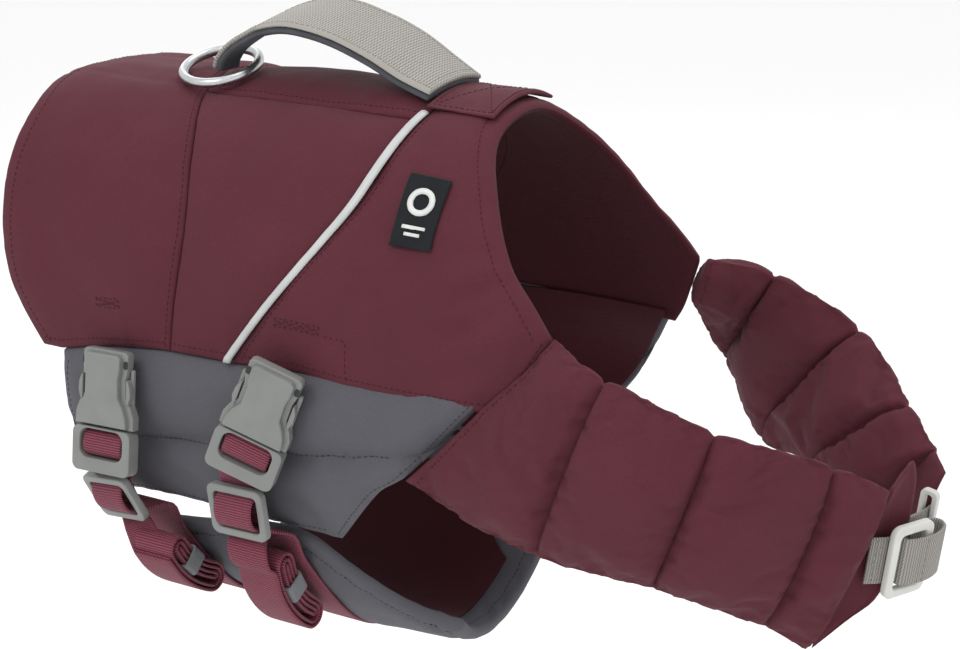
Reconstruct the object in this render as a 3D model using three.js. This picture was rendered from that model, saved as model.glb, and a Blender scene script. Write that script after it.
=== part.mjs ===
// Life jacket for a large dog, worn shape with no wearer, in millimetres.
// +X points to the dog's head, +Y to its left (the far side), +Z up.
// The origin lies on the wearer's back: the inside of the spine strip, under the handle.
import * as THREE from "three";

// Driving sizes
const SEAM = 0.3;
const BODY = { depth: 158, lowerPower: 2.1, midZ: -120 };
const BACK_FOAM = { edge: 5.5, middle: 8.5 };
const SIDE_FOAM = { edge: 5, middle: 8.5, quilt: 5 };
const BELLY_FOAM = { edge: 6.5, middle: 10 };
const ARM_FOAM = { edge: 5, quilt: 10 };
const LINING = 1.2;
const WEBBING = { width: 25, thick: 1.6 };
const HANDLE = { webbing: 2.2, lining: 3.4 };
const RING = { radius: 20.3, wire: 2.6, x: -68.5, y: -17, z: 9.6, tilt: 16.5 };

const BURGUNDY = cloth(0x5f3039);
const BURGUNDY_LINING = cloth(0x431d25);
const GREY_CLOTH = cloth(0x5b5b60);
const GREY_WEBBING = cloth(0xb2b0a8);
const BURGUNDY_WEBBING = cloth(0x6a3240);
const NEOPRENE = cloth(0x55555a);
const ELASTIC = cloth(0x7d7f82);
const REFLECTIVE = cloth(0xc9cccb);
const GREY_PLASTIC = plastic(0x8e908d);
const PALE_PLASTIC = plastic(0xc9c9c4);
const LABEL_RUBBER = plastic(0x23252a);
const STEEL = new THREE.MeshStandardMaterial({ color: 0xc2c4c6, roughness: 0.28, metalness: 1 });

function cloth(color) {
  return new THREE.MeshStandardMaterial({ color, roughness: 0.85, metalness: 0 });
}

function plastic(color) {
  return new THREE.MeshStandardMaterial({ color, roughness: 0.45, metalness: 0 });
}

const jacket = new THREE.Group();
jacket.name = "dog_life_jacket";

function add(name, geometry, material) {
  const mesh = new THREE.Mesh(geometry, material);
  mesh.name = name;
  jacket.add(mesh);
  return mesh;
}

const lerp = THREE.MathUtils.lerp;
const clamp = THREE.MathUtils.clamp;
const smooth = THREE.MathUtils.smoothstep;

// Value of one column of a table at a place along its key column, on a smooth curve through the rows
function along(table, key, at, column) {
  const last = table.length - 1;
  const value = clamp(at, table[0][key], table[last][key]);
  let i = 0;
  while (i < last - 1 && value > table[i + 1][key]) i += 1;
  const a = table[i];
  const b = table[i + 1];
  const before = table[Math.max(i - 1, 0)];
  const after = table[Math.min(i + 2, last)];
  const span = b[key] - a[key];
  const t = (value - a[key]) / span;
  const slopeA = ((b[column] - before[column]) / (b[key] - before[key])) * span;
  const slopeB = ((after[column] - a[column]) / (after[key] - a[key])) * span;
  const t2 = t * t;
  const t3 = t2 * t;
  return (2 * t3 - 3 * t2 + 1) * a[column] + (t3 - 2 * t2 + t) * slopeA
    + (-2 * t3 + 3 * t2) * b[column] + (t3 - t2) * slopeB;
}

// Closed shell between two grids of points; the grids' edges are joined by a rim
function shell(outer, inner) {
  const rows = outer.length;
  const columns = outer[0].length;
  const points = [...outer.flat(), ...inner.flat()];
  const half = rows * columns;
  const index = [];
  const quad = (a, b, c, d) => index.push(a, b, c, a, c, d);
  const at = (i, j) => i * columns + j;
  for (let i = 0; i < rows - 1; i += 1) {
    for (let j = 0; j < columns - 1; j += 1) {
      quad(at(i, j), at(i, j + 1), at(i + 1, j + 1), at(i + 1, j));
      quad(half + at(i, j), half + at(i + 1, j), half + at(i + 1, j + 1), half + at(i, j + 1));
    }
  }
  const rim = [];
  for (let j = 0; j < columns - 1; j += 1) rim.push(at(0, j));
  for (let i = 0; i < rows - 1; i += 1) rim.push(at(i, columns - 1));
  for (let j = columns - 1; j > 0; j -= 1) rim.push(at(rows - 1, j));
  for (let i = rows - 1; i > 0; i -= 1) rim.push(at(i, 0));
  rim.forEach((a, k) => {
    const b = rim[(k + 1) % rim.length];
    quad(a, half + a, half + b, b);
  });
  return closedGeometry(points, index);
}

// Geometry from points and triangles, turned so that its faces point out
function closedGeometry(points, index) {
  let volume = 0;
  for (let k = 0; k < index.length; k += 3) {
    const [a, b, c] = [points[index[k]], points[index[k + 1]], points[index[k + 2]]];
    volume += a.dot(new THREE.Vector3().crossVectors(b, c));
  }
  if (volume < 0) {
    for (let k = 0; k < index.length; k += 3) [index[k + 1], index[k + 2]] = [index[k + 2], index[k + 1]];
  }
  const geometry = new THREE.BufferGeometry();
  geometry.setAttribute("position", new THREE.Float32BufferAttribute(points.flatMap((p) => [p.x, p.y, p.z]), 3));
  geometry.setIndex(index);
  geometry.computeVertexNormals();
  return geometry;
}

// Body inside the cloth, along the back: half width, and how square its upper section is
const BODY_SHAPE = [
  { x: -165, half: 89, rise: 114, power: 3.3 },
  { x: -60, half: 91.5, rise: 118, power: 2.4 },
  { x: 0, half: 92, rise: 120, power: 2.2 },
  { x: 60, half: 92, rise: 120, power: 2.1 },
  { x: 115, half: 89, rise: 120, power: 1.9 },
  { x: 170, half: 80, rise: 120, power: 1.9 },
];

// One section across the body: points and lengths from the spine down to the middle of the belly
const sectionCache = new Map();
function section(x) {
  const key = Math.round(x * 10);
  if (sectionCache.has(key)) return sectionCache.get(key);
  const half = along(BODY_SHAPE, "x", x, "half");
  const rise = along(BODY_SHAPE, "x", x, "rise");
  const upperPower = along(BODY_SHAPE, "x", x, "power");
  const steps = 120;
  const points = [];
  let length = 0;
  for (let k = 0; k <= steps; k += 1) {
    const angle = (Math.PI * k) / steps;
    const upper = angle <= Math.PI / 2;
    const power = 2 / (upper ? upperPower : BODY.lowerPower);
    const reach = upper ? rise : -BODY.depth;
    const y = half * Math.pow(Math.sin(angle), power);
    const z = BODY.midZ + reach * Math.pow(Math.abs(Math.cos(angle)), power);
    if (k > 0) length += Math.hypot(y - points[k - 1].y, z - points[k - 1].z);
    points.push({ length, y, z });
  }
  const hem = points[steps / 2].length;
  const result = { points, hem, girth: length };
  sectionCache.set(key, result);
  return result;
}

// Point on the body, raised by a height: x along the back, s round it from the spine.
// s is a cut length: the hem lies at s = HEM everywhere. Above zero it goes down the near side (-Y).
function onBody(x, s, height) {
  const { points, hem, girth } = section(x);
  let side = s < 0 ? 1 : -1;
  let from = Math.abs(s) <= HEM ? (Math.abs(s) * hem) / HEM : hem + Math.abs(s) - HEM;
  if (from > girth) {
    from = 2 * girth - from;
    side = -side;
  }
  let k = 1;
  while (k < points.length - 1 && points[k].length < from) k += 1;
  const p = points[k - 1];
  const q = points[k];
  const t = (from - p.length) / (q.length - p.length);
  const a = points[Math.max(k - 3, 0)];
  const b = points[Math.min(k + 2, points.length - 1)];
  const run = Math.hypot(b.y - a.y, b.z - a.z);
  const nearSpine = clamp(from / 12, 0, 1);
  const nearBelly = clamp((girth - from) / 12, 0, 1);
  const across = (-(b.z - a.z) / run) * nearSpine * nearBelly;
  const up = Math.sign(b.y - a.y) * Math.sqrt(1 - across * across);
  const y = lerp(p.y, q.y, t) + across * height;
  const z = lerp(p.z, q.z, t) + up * height;
  return new THREE.Vector3(x, side * y, z);
}

// Half the girth at a place along the back, as a cut length
const bellyMiddle = (x) => HEM + section(x).girth - section(x).hem;

const HEM = 175;
const SHOULDER = 136;
const ROOT_END = 222;
const GREY_BOTTOM = 267;

// Edges of the cut pieces: place along the back for each cut length round the body
const REAR_EDGE = [
  { s: 0, x: -165 },
  { s: 42, x: -163 },
  { s: 64, x: -160 },
  { s: 115, x: -161 },
  { s: 145, x: -157 },
  { s: 169, x: -140 },
  { s: 191, x: -121 },
];
const REAR_SEAM = [
  { s: 0, x: -78 },
  { s: 40, x: -64 },
  { s: 75, x: -49 },
  { s: 113, x: -41 },
  { s: 175, x: -46 },
];
const PIPING_SEAM = [
  { s: 0, x: 70 },
  { s: 28, x: 67 },
  { s: 82, x: 57 },
  { s: 108, x: 43 },
  { s: 150, x: 11 },
  { s: 175, x: -8 },
];
const NECK_RIM = [
  { s: 0, x: 110 },
  { s: 35, x: 111 },
  { s: 70, x: 125 },
  { s: 104, x: 142 },
  { s: 122, x: 157 },
  { s: SHOULDER, x: 168 },
];
const ARM_ROOT = [
  { s: SHOULDER, x: 168 },
  { s: 152, x: 159 },
  { s: 171, x: 142 },
  { s: ROOT_END, x: 92 },
  { s: 232, x: 77 },
  { s: GREY_BOTTOM + 2, x: 46 },
];
// The far front corner is pulled forward by its arm, which is swung out
const FAR_ROOT = [
  { s: SHOULDER, x: 168 },
  { s: 152, x: 162 },
  { s: 171, x: 154 },
  { s: ROOT_END, x: 118 },
  { s: GREY_BOTTOM + 2, x: 72 },
];
const rearEdge = (s) => along(REAR_EDGE, "s", Math.abs(s), "x");
const rearSeam = (s) => along(REAR_SEAM, "s", Math.abs(s), "x");
const pipingSeam = (s) => along(PIPING_SEAM, "s", Math.abs(s), "x");
const armRoot = (s) => along(s < 0 ? FAR_ROOT : ARM_ROOT, "s", Math.abs(s), "x");
const frontEdge = (s) => (Math.abs(s) < SHOULDER ? along(NECK_RIM, "s", Math.abs(s), "x") : armRoot(s) - SEAM);

// The hem hangs lower towards the rump, and so does the lower edge of the grey side
const HEM_LINE = [
  { x: -122, s: 190 },
  { x: -90, s: 183 },
  { x: -47, s: 178 },
  { x: 0, s: 177 },
  { x: 64, s: 173 },
  { x: 142, s: 171 },
];
const GREY_LINE = [
  { x: -122, s: 273 },
  { x: -71, s: 266 },
  { x: 50, s: 267 },
];

// How full a padded piece is at a place from edge to edge, 0 at the edges and 1 in the middle
const fullness = (u, power) => 1 - Math.pow(Math.abs(2 * u - 1), power);

// Padded piece of the body. Its rows run from one cut length to another, its columns from the left
// edge to the right edge; shift moves a point outward, as where a piece is pulled out of line.
function bodyPiece({ rows, left, right, across, foam, quilt = () => 1, drop = () => 0, shift = () => 0, lift = 0 }) {
  const outer = [];
  const inner = [];
  rows.forEach((s, i) => {
    const u = i / (rows.length - 1);
    const outerRow = [];
    const innerRow = [];
    for (let j = 0; j <= across; j += 1) {
      const v = j / across;
      const x = lerp(left(s), right(s), v);
      const round = s + drop(x, s);
      const full = fullness(u, 8) * fullness(v, 8) * quilt(s, x);
      const out = lift + shift(x, s);
      outerRow.push(onBody(x, round, out + lerp(foam.edge, foam.middle, full)));
      innerRow.push(onBody(x, round, out));
    }
    outer.push(outerRow);
    inner.push(innerRow);
  });
  return shell(outer, inner);
}

// Even steps from one length to another, moved to keep chosen lengths
function steps(from, to, count, keep = []) {
  const list = [];
  for (let k = 0; k <= count; k += 1) list.push(lerp(from, to, k / count));
  keep.forEach((value) => {
    let best = 1;
    for (let k = 1; k < list.length - 1; k += 1) {
      if (Math.abs(list[k] - value) < Math.abs(list[best] - value)) best = k;
    }
    list[best] = value;
  });
  return list;
}

// Back: a rear piece over the rump, a spine strip between two middle pieces, a front piece over the withers
const SPINE_EDGE = 33;
const hemShift = (x, s) => Math.sign(s) * (along(HEM_LINE, "x", x, "s") - HEM) * smooth(Math.abs(s), 110, HEM);

add("rear_panel", bodyPiece({
  rows: steps(-HEM, HEM, 36),
  left: rearEdge,
  right: (s) => rearSeam(s) - SEAM / 2,
  across: 5,
  foam: BACK_FOAM,
  drop: hemShift,
}), BURGUNDY);

add("spine_strip", bodyPiece({
  rows: steps(-SPINE_EDGE + SEAM / 2, SPINE_EDGE - SEAM / 2, 6),
  left: (s) => rearSeam(s) + SEAM / 2,
  right: (s) => pipingSeam(s) - SEAM / 2,
  across: 6,
  foam: BACK_FOAM,
}), BURGUNDY);

add("front_panel", bodyPiece({
  rows: steps(-HEM, HEM, 38, [-SHOULDER, SHOULDER]),
  left: (s) => pipingSeam(s) + SEAM / 2,
  right: frontEdge,
  across: 8,
  foam: BACK_FOAM,
  drop: hemShift,
}), BURGUNDY);

const SIDES = [["near", 1], ["far", -1]];

for (const [side, sign] of SIDES) {
  add(`middle_panel_${side}`, bodyPiece({
    rows: steps(sign * (SPINE_EDGE + SEAM / 2), sign * HEM, 14),
    left: (s) => rearSeam(s) + SEAM / 2,
    right: (s) => pipingSeam(s) - SEAM / 2,
    across: 6,
    foam: BACK_FOAM,
    drop: hemShift,
  }), BURGUNDY);
}

// Lower sides: grey foam pieces with one quilted line, lined in burgundy
const QUILT_LINE = [
  { x: -125, s: 231 },
  { x: -31, s: 225 },
  { x: 46, s: 217 },
  { x: 110, s: 208 },
];
const LOWER_REAR = -121;
const quiltDip = (s, x) => {
  const away = Math.abs(Math.abs(s) - along(QUILT_LINE, "x", x, "s"));
  return 1 - 0.9 * Math.exp(-((away / 6) ** 2));
};
// The far front corner stands off the body, pulled out by its arm
const FAR_FLARE = 20;
const flare = (x, s) => (s < 0 ? FAR_FLARE * smooth(x, 20, 110) * smooth(-s, HEM, ROOT_END) : 0);
const lowerRear = (s) => LOWER_REAR - 3 * Math.sin((Math.PI * (Math.abs(s) - HEM)) / (GREY_BOTTOM - HEM));

for (const [side, sign] of SIDES) {
  const below = (x, s) => {
    const u = (Math.abs(s) - HEM) / (GREY_BOTTOM - HEM);
    const top = along(HEM_LINE, "x", x, "s") - HEM;
    const bottom = along(GREY_LINE, "x", x, "s") - GREY_BOTTOM;
    return sign * lerp(top, bottom, u);
  };
  add(`lower_side_${side}`, bodyPiece({
    rows: steps(sign * (HEM + SEAM), sign * GREY_BOTTOM, 12),
    left: lowerRear,
    right: (s) => armRoot(s) - SEAM,
    across: 12,
    foam: SIDE_FOAM,
    quilt: quiltDip,
    drop: below,
    shift: flare,
  }), GREY_CLOTH);
  add(`lower_lining_${side}`, bodyPiece({
    rows: steps(sign * (HEM + 2), sign * (GREY_BOTTOM - 3), side === "far" ? 12 : 6),
    left: (s) => lowerRear(s) + 3,
    right: (s) => armRoot(s) - 3,
    across: side === "far" ? 12 : 8,
    foam: { edge: LINING, middle: LINING },
    drop: below,
    shift: flare,
    lift: -LINING - 2 * SEAM,
  }), BURGUNDY_LINING);
}

// Belly: a grey foam piece across the chest, cut away for the forelegs, with a burgundy lining inset
const BELLY_EDGE = [
  { x: -76, s: 286 },
  { x: -45, s: 280 },
  { x: -15, s: 272 },
  { x: 24, s: GREY_BOTTOM + 4 },
  { x: 46, s: 290 },
  { x: 70, s: 313 },
  { x: 88, s: 321 },
  { x: 108, s: 323 },
];
const BELLY_REAR = -76;
const BELLY_FRONT = { near: 101, far: 91 };
const BELLY_BORDER = 17;

function bellyPiece({ inset, across, along: count, foam, lift }) {
  const outer = [];
  const inner = [];
  for (let i = 0; i <= across; i += 1) {
    const u = i / across;
    const outerRow = [];
    const innerRow = [];
    for (let j = 0; j <= count; j += 1) {
      const v = j / count;
      const bow = 4 * (1 - (2 * u - 1) ** 2);
      const front = lerp(BELLY_FRONT.near, BELLY_FRONT.far, u) - inset - bow;
      const x = lerp(BELLY_REAR + inset, front, v);
      const edge = along(BELLY_EDGE, "x", x, "s") + inset;
      const s = lerp(edge, 2 * bellyMiddle(x) - edge, u);
      const full = fullness(u, 6) * fullness(v, 10);
      outerRow.push(onBody(x, s, lift + lerp(foam.edge, foam.middle, full)));
      innerRow.push(onBody(x, s, lift));
    }
    outer.push(outerRow);
    inner.push(innerRow);
  }
  return shell(outer, inner);
}

add("belly_panel", bellyPiece({ inset: 0, across: 14, along: 12, foam: BELLY_FOAM, lift: 0 }), GREY_CLOTH);
add("belly_lining", bellyPiece({
  inset: BELLY_BORDER,
  across: 10,
  along: 8,
  foam: { edge: LINING, middle: LINING },
  lift: -LINING - 3 * SEAM,
}), BURGUNDY_LINING);

// Reflective piping over the slanted seams, and the label on the near front piece
function bodyStrip(rows, { centre, width, low, high }) {
  const outer = [];
  const inner = [];
  rows.forEach((s) => {
    const x = centre(s);
    const edges = [x - width / 2, x + width / 2];
    outer.push(edges.map((at) => onBody(at, s, high)));
    inner.push(edges.map((at) => onBody(at, s, low)));
  });
  return shell(outer, inner);
}

for (const [side, sign] of SIDES) {
  add(`piping_${side}`, bodyStrip(steps(sign * 29, sign * (HEM + 1), 16), {
    centre: pipingSeam,
    width: 5.5,
    low: BACK_FOAM.edge + 1.5,
    high: BACK_FOAM.edge + 3.1,
  }), REFLECTIVE);
}

const LABEL = { x: 92, s: 86, width: 22, length: 36 };
add("label", bodyPiece({
  rows: steps(LABEL.s - LABEL.length / 2, LABEL.s + LABEL.length / 2, 4),
  left: () => LABEL.x - LABEL.width / 2,
  right: () => LABEL.x + LABEL.width / 2,
  across: 3,
  foam: { edge: 1.2, middle: 1.5 },
  lift: BACK_FOAM.middle + SEAM,
}), LABEL_RUBBER);

// Chest arms: quilted padded bands. Each row is a line across the band, from its upper to its lower edge
const NEAR_ARM = [
  { run: 0, ux: 168, uy: -83, uz: -86, lx: 92, ly: -91, lz: -170 },
  { run: 60, ux: 203, uy: -94, uz: -93, lx: 166, ly: -92, lz: -189 },
  { run: 118, ux: 255, uy: -87, uz: -111, lx: 225, ly: -85, lz: -195 },
  { run: 178, ux: 297, uy: -48, uz: -132, lx: 269, ly: -55, lz: -216 },
  { run: 204, ux: 317, uy: -30, uz: -146, lx: 284, ly: -40, lz: -230 },
];
const FAR_ARM = [
  { run: 0, ux: 170, uy: 86, uz: -88, lx: 152, ly: 100, lz: -120 },
  { run: 60, ux: 203, uy: 96, uz: -93, lx: 160, ly: 138, lz: -160 },
  { run: 118, ux: 255, uy: 87, uz: -111, lx: 195, ly: 107, lz: -190 },
  { run: 178, ux: 297, uy: 48, uz: -132, lx: 240, ly: 68, lz: -184 },
  { run: 204, ux: 317, uy: 30, uz: -146, lx: 268, ly: 45, lz: -208 },
];
const ARM_QUILTS = [60, 118, 178];
const ARM_END = 204;

function bandPoint(table, run, across) {
  const at = (column) => along(table, "run", run, column);
  const upper = new THREE.Vector3(at("ux"), at("uy"), at("uz"));
  const lower = new THREE.Vector3(at("lx"), at("ly"), at("lz"));
  return upper.lerp(lower, across);
}

// Padding between the quilted lines, from 0 on a line to 1 halfway
function armFullness(run) {
  const lines = [-14, ...ARM_QUILTS, ARM_END + 2];
  let k = 0;
  while (k < lines.length - 2 && run > lines[k + 1]) k += 1;
  return fullness((run - lines[k]) / (lines[k + 1] - lines[k]), 3);
}

// Shell on both sides of a grid of middle points, with a thickness at each
function thickened(middle, thickness) {
  const outer = [];
  const inner = [];
  middle.forEach((row, i) => {
    const outerRow = [];
    const innerRow = [];
    row.forEach((point, j) => {
      const down = middle[Math.min(i + 1, middle.length - 1)][j].clone().sub(middle[Math.max(i - 1, 0)][j]);
      const right = row[Math.min(j + 1, row.length - 1)].clone().sub(row[Math.max(j - 1, 0)]);
      const normal = down.cross(right).normalize().multiplyScalar(thickness(i, j) / 2);
      outerRow.push(point.clone().add(normal));
      innerRow.push(point.clone().sub(normal));
    });
    outer.push(outerRow);
    inner.push(innerRow);
  });
  return shell(outer, inner);
}

function arm(table, rootPoint) {
  const columns = 8;
  const runs = [0, 8, 20, 34, 48, 56, 60, 65, 77, 90, 103, 113, 118, 123, 136, 150, 164, 173, 178, 183, 194, 204];
  const middle = runs.map((run) => {
    const row = [];
    for (let j = 0; j <= columns; j += 1) {
      const across = j / columns;
      const point = bandPoint(table, run, across);
      const pull = (1 - smooth(run, 0, 55)) ** 2;
      const seam = rootPoint(across).sub(bandPoint(table, 0, across)).multiplyScalar(pull);
      row.push(point.add(seam));
    }
    return row;
  });
  const { edge, quilt } = ARM_FOAM;
  const thickness = (i, j) => {
    const full = armFullness(runs[i]);
    const crown = lerp(quilt, 26, full) * lerp(0.55, 1, smooth(runs[i], 0, 25));
    return lerp(edge, crown, Math.pow(fullness(j / columns, 2.6), 0.8));
  };
  return thickened(middle, thickness);
}

// Only the upper part of the far arm's root is spread out; the rest lies gathered behind it
const FAR_ROOT_END = 165;
const rootCurve = (side, end, gap) => (across) => {
  const s = side * lerp(SHOULDER, end, across);
  return onBody(armRoot(s) + gap, s, BACK_FOAM.edge / 2 + flare(armRoot(s), s));
};
add("arm_near", arm(NEAR_ARM, rootCurve(1, ROOT_END, SEAM)), BURGUNDY);
add("arm_far", arm(FAR_ARM, rootCurve(-1, FAR_ROOT_END, 4.1)), BURGUNDY);

// Unpadded ends of the arms, where the chest webbing is sewn on
const NEAR_TONGUE = [
  { across: 0, x: 316, y: -3, z: -135 },
  { across: 0.2, x: 321, y: -7, z: -150 },
  { across: 0.5, x: 319, y: -15, z: -179 },
  { across: 0.8, x: 311, y: -25, z: -204 },
  { across: 0.93, x: 300, y: -33, z: -215 },
  { across: 1, x: 287, y: -39, z: -229 },
];
const FAR_TONGUE = [
  { across: 0, x: 328, y: 14, z: -150 },
  { across: 0.4, x: 318, y: 18, z: -172 },
  { across: 0.75, x: 300, y: 27, z: -194 },
  { across: 1, x: 272, y: 42, z: -210 },
];

function tongue(armTable, table, gap) {
  const columns = 8;
  const rows = 4;
  const middle = [];
  for (let i = 0; i <= rows; i += 1) {
    const row = [];
    for (let j = 0; j <= columns; j += 1) {
      const across = j / columns;
      const edge = new THREE.Vector3(...["x", "y", "z"].map((key) => along(table, "across", across, key)));
      const from = bandPoint(armTable, ARM_END, across);
      const outward = edge.clone().sub(from);
      from.add(outward.setLength(gap));
      row.push(from.lerp(edge, i / rows));
    }
    middle.push(row);
  }
  return thickened(middle, () => 2.4);
}
add("tongue_near", tongue(NEAR_ARM, NEAR_TONGUE, 3), BURGUNDY);
add("tongue_far", tongue(FAR_ARM, FAR_TONGUE, 1), BURGUNDY);

// Carrying handle over the spine: webbing on top, a soft lining below, narrowed into its rear foot
const HANDLE_PATH = [
  { at: 0, x: 67.3, y: 0, z: 12.6, half: 25, tilt: 0, crown: 4 },
  { at: 1, x: 50, y: 0, z: 19.5, half: 25, tilt: 2, crown: 3 },
  { at: 2, x: 31, y: 0, z: 27.5, half: 25, tilt: 3, crown: 1.5 },
  { at: 3, x: 11, y: 0, z: 34, half: 25, tilt: 3.2, crown: 0.8 },
  { at: 4, x: -8, y: 0, z: 38, half: 25, tilt: 3.5, crown: 0.5 },
  { at: 5, x: -24, y: 0, z: 38.8, half: 25, tilt: 3.5, crown: 0.5 },
  { at: 6, x: -40, y: -1, z: 35, half: 23, tilt: 3, crown: 0.5 },
  { at: 7, x: -51, y: -6, z: 29, half: 15.5, tilt: 2, crown: 0.5 },
  { at: 8, x: -61, y: -12, z: 21, half: 9, tilt: 0.5, crown: 0 },
  { at: 9, x: -67, y: -13, z: 14, half: 8.5, tilt: 0, crown: 0 },
  { at: 10, x: -69, y: -13, z: 8.6, half: 8.5, tilt: 0, crown: 0 },
];

function handleLayer(low, high) {
  const stations = 24;
  const columns = 4;
  const last = HANDLE_PATH.length - 1;
  const centre = (at) => new THREE.Vector3(...["x", "y", "z"].map((key) => along(HANDLE_PATH, "at", at, key)));
  const layer = (height) => {
    const grid = [];
    for (let i = 0; i <= stations; i += 1) {
      const at = (last * i) / stations;
      const middle = centre(at);
      const tangent = centre(Math.min(at + 0.1, last)).sub(centre(Math.max(at - 0.1, 0)));
      tangent.y = 0;
      const normal = new THREE.Vector3(tangent.z, 0, -tangent.x).normalize();
      const half = along(HANDLE_PATH, "at", at, "half");
      const tilt = along(HANDLE_PATH, "at", at, "tilt");
      const crown = along(HANDLE_PATH, "at", at, "crown");
      const row = [];
      for (let j = 0; j <= columns; j += 1) {
        const t = (2 * j) / columns - 1;
        const point = middle.clone().addScaledVector(normal, height - crown * t * t + tilt * t);
        point.y += half * t;
        row.push(point);
      }
      grid.push(row);
    }
    return grid;
  };
  return shell(layer(high), layer(low));
}
add("handle_webbing", handleLayer(0, HANDLE.webbing), GREY_WEBBING);
add("handle_lining", handleLayer(-SEAM - HANDLE.lining, -SEAM), NEOPRENE);

// Stitched patch that holds the handle's front end down
add("front_patch", bodyPiece({
  rows: steps(-28, 28, 6),
  left: () => 67.8,
  right: () => 106,
  across: 3,
  foam: { edge: 2.6, middle: 3.4 },
  lift: BACK_FOAM.middle + SEAM,
}), BURGUNDY);

// Round leash ring lying about the handle's rear foot
const ring = add("leash_ring", new THREE.TorusGeometry(RING.radius, RING.wire, 8, 36), STEEL);
ring.position.set(RING.x, RING.y, RING.z);
ring.rotation.x = THREE.MathUtils.degToRad(RING.tilt);

// Outline helpers for moulded pieces
function roundedRect(width, height, radius, x = 0, y = 0, path = new THREE.Shape()) {
  const [l, r, b, t] = [x - width / 2, x + width / 2, y - height / 2, y + height / 2];
  path.moveTo(l + radius, b);
  path.lineTo(r - radius, b);
  path.absarc(r - radius, b + radius, radius, -Math.PI / 2, 0);
  path.lineTo(r, t - radius);
  path.absarc(r - radius, t - radius, radius, 0, Math.PI / 2);
  path.lineTo(l + radius, t);
  path.absarc(l + radius, t - radius, radius, Math.PI / 2, Math.PI);
  path.lineTo(l, b + radius);
  path.absarc(l + radius, b + radius, radius, Math.PI, 1.5 * Math.PI);
  return path;
}

function moulded(shape, from, to, bevel) {
  const geometry = new THREE.ExtrudeGeometry(shape, {
    depth: to - from - 2 * bevel,
    bevelEnabled: bevel > 0,
    bevelThickness: bevel,
    bevelSize: bevel,
    bevelOffset: -bevel,
    bevelSegments: 1,
    curveSegments: 1,
  });
  geometry.translate(0, 0, from + bevel);
  return geometry;
}

// Side-release buckle, drawn flat: x across, y up the strap, z out from the jacket
const BUCKLE = { width: 37, top: 33, split: -8, bottom: -32, low: 2.4, high: 11.5 };

function socketShape() {
  const half = BUCKLE.width / 2;
  const shape = new THREE.Shape();
  const right = [
    { x: half - 6, y: BUCKLE.top },
    { x: half - 4, y: BUCKLE.top - 2 },
    { x: half - 4.5, y: 24 },
    { x: half - 5.5, y: 19 },
    { x: half - 5, y: 9 },
    { x: half - 1.5, y: 4 },
    { x: half, y: -1 },
    { x: half, y: BUCKLE.split + SEAM },
  ];
  shape.moveTo(-right[0].x, right[0].y);
  right.forEach((p) => shape.lineTo(p.x, p.y));
  [...right].reverse().forEach((p) => shape.lineTo(-p.x, p.y));
  return shape;
}

const WINDOW = { width: 28, height: 11, middle: -17 };
function plugShape() {
  const height = BUCKLE.split - BUCKLE.bottom;
  const shape = roundedRect(BUCKLE.width, height, 4, 0, BUCKLE.bottom + height / 2);
  shape.holes.push(roundedRect(WINDOW.width, WINDOW.height, 2, 0, WINDOW.middle, new THREE.Path()));
  return shape;
}

function frameShape(width, height, bar, radius) {
  const shape = roundedRect(width, height, radius);
  shape.holes.push(roundedRect(width - 2 * bar, height - 2 * bar, radius / 2, 0, 0, new THREE.Path()));
  return shape;
}

function basis(across, up) {
  const x = across.clone().normalize();
  const z = new THREE.Vector3().crossVectors(x, up).normalize();
  const y = new THREE.Vector3().crossVectors(z, x);
  return new THREE.Matrix4().makeBasis(x, y, z);
}

function place(mesh, origin, across, up) {
  mesh.quaternion.setFromRotationMatrix(basis(across, up));
  mesh.position.copy(origin);
}

// Ribbon of webbing through stations, each with a middle point and the direction across it
function ribbon(stations, width, thick) {
  const outer = [];
  const inner = [];
  stations.forEach((station, i) => {
    const before = stations[Math.max(i - 1, 0)].point;
    const after = stations[Math.min(i + 1, stations.length - 1)].point;
    const tangent = after.clone().sub(before).normalize();
    const across = station.across.clone().normalize();
    const normal = new THREE.Vector3().crossVectors(tangent, across).normalize().multiplyScalar(thick / 2);
    const side = across.multiplyScalar(width / 2);
    const corner = (a, b) => station.point.clone().addScaledVector(side, a).addScaledVector(normal, b);
    outer.push([corner(-1, 1), corner(1, 1)]);
    inner.push([corner(-1, -1), corner(1, -1)]);
  });
  return shell(outer, inner);
}

// The two girth straps, each one length of webbing: from the far hem under the belly, up behind the
// slider to the buckle's bar, back over the slider, and the spare end rolled up flat.
// Buckle and slider: the middle of the back face, and the directions across and up
const STRAPS = [
  {
    name: "front",
    buckle: { at: [19.5, -107.5, -143], across: [0.88, 0.28, -0.38], up: [0.4, 0.03, 0.91] },
    slider: { at: [4, -107, -195.5], across: [0.994, -0.085, 0.066], up: [-0.07, -0.077, 0.994] },
    bellyX: 20,
    liftX: 13,
    hang: [{ x: 8, y: -109, z: -216 }, { x: 10, y: -109, z: -224 }],
    roll: { x: 11.5, y: -89, z: -246, slope: 56, half: 22, curve: 22 },
  },
  {
    name: "rear",
    buckle: { at: [-76.5, -107.5, -157], across: [1, 0.03, 0.02], up: [-0.02, 0.15, 0.99] },
    slider: { at: [-77, -107, -204], across: [0.963, -0.208, 0.17], up: [-0.238, -0.367, 0.899] },
    bellyX: -58,
    liftX: -66,
    hang: [{ x: -63, y: -105, z: -225 }, { x: -57, y: -107.5, z: -233 }],
    roll: { x: -52, y: -92, z: -244, slope: 42, half: 20, curve: 18 },
  },
];
const SLIDER = { width: 40, height: 28, bar: 4, thick: 4 };
const ROLL = { layers: 6, pitch: 2.7, keeperRoom: 1.5 };
const KEEPER = { length: 11, thick: 1.2, run: -4.5, gap: 0.6 };
const vector = (list) => new THREE.Vector3(...list);

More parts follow.
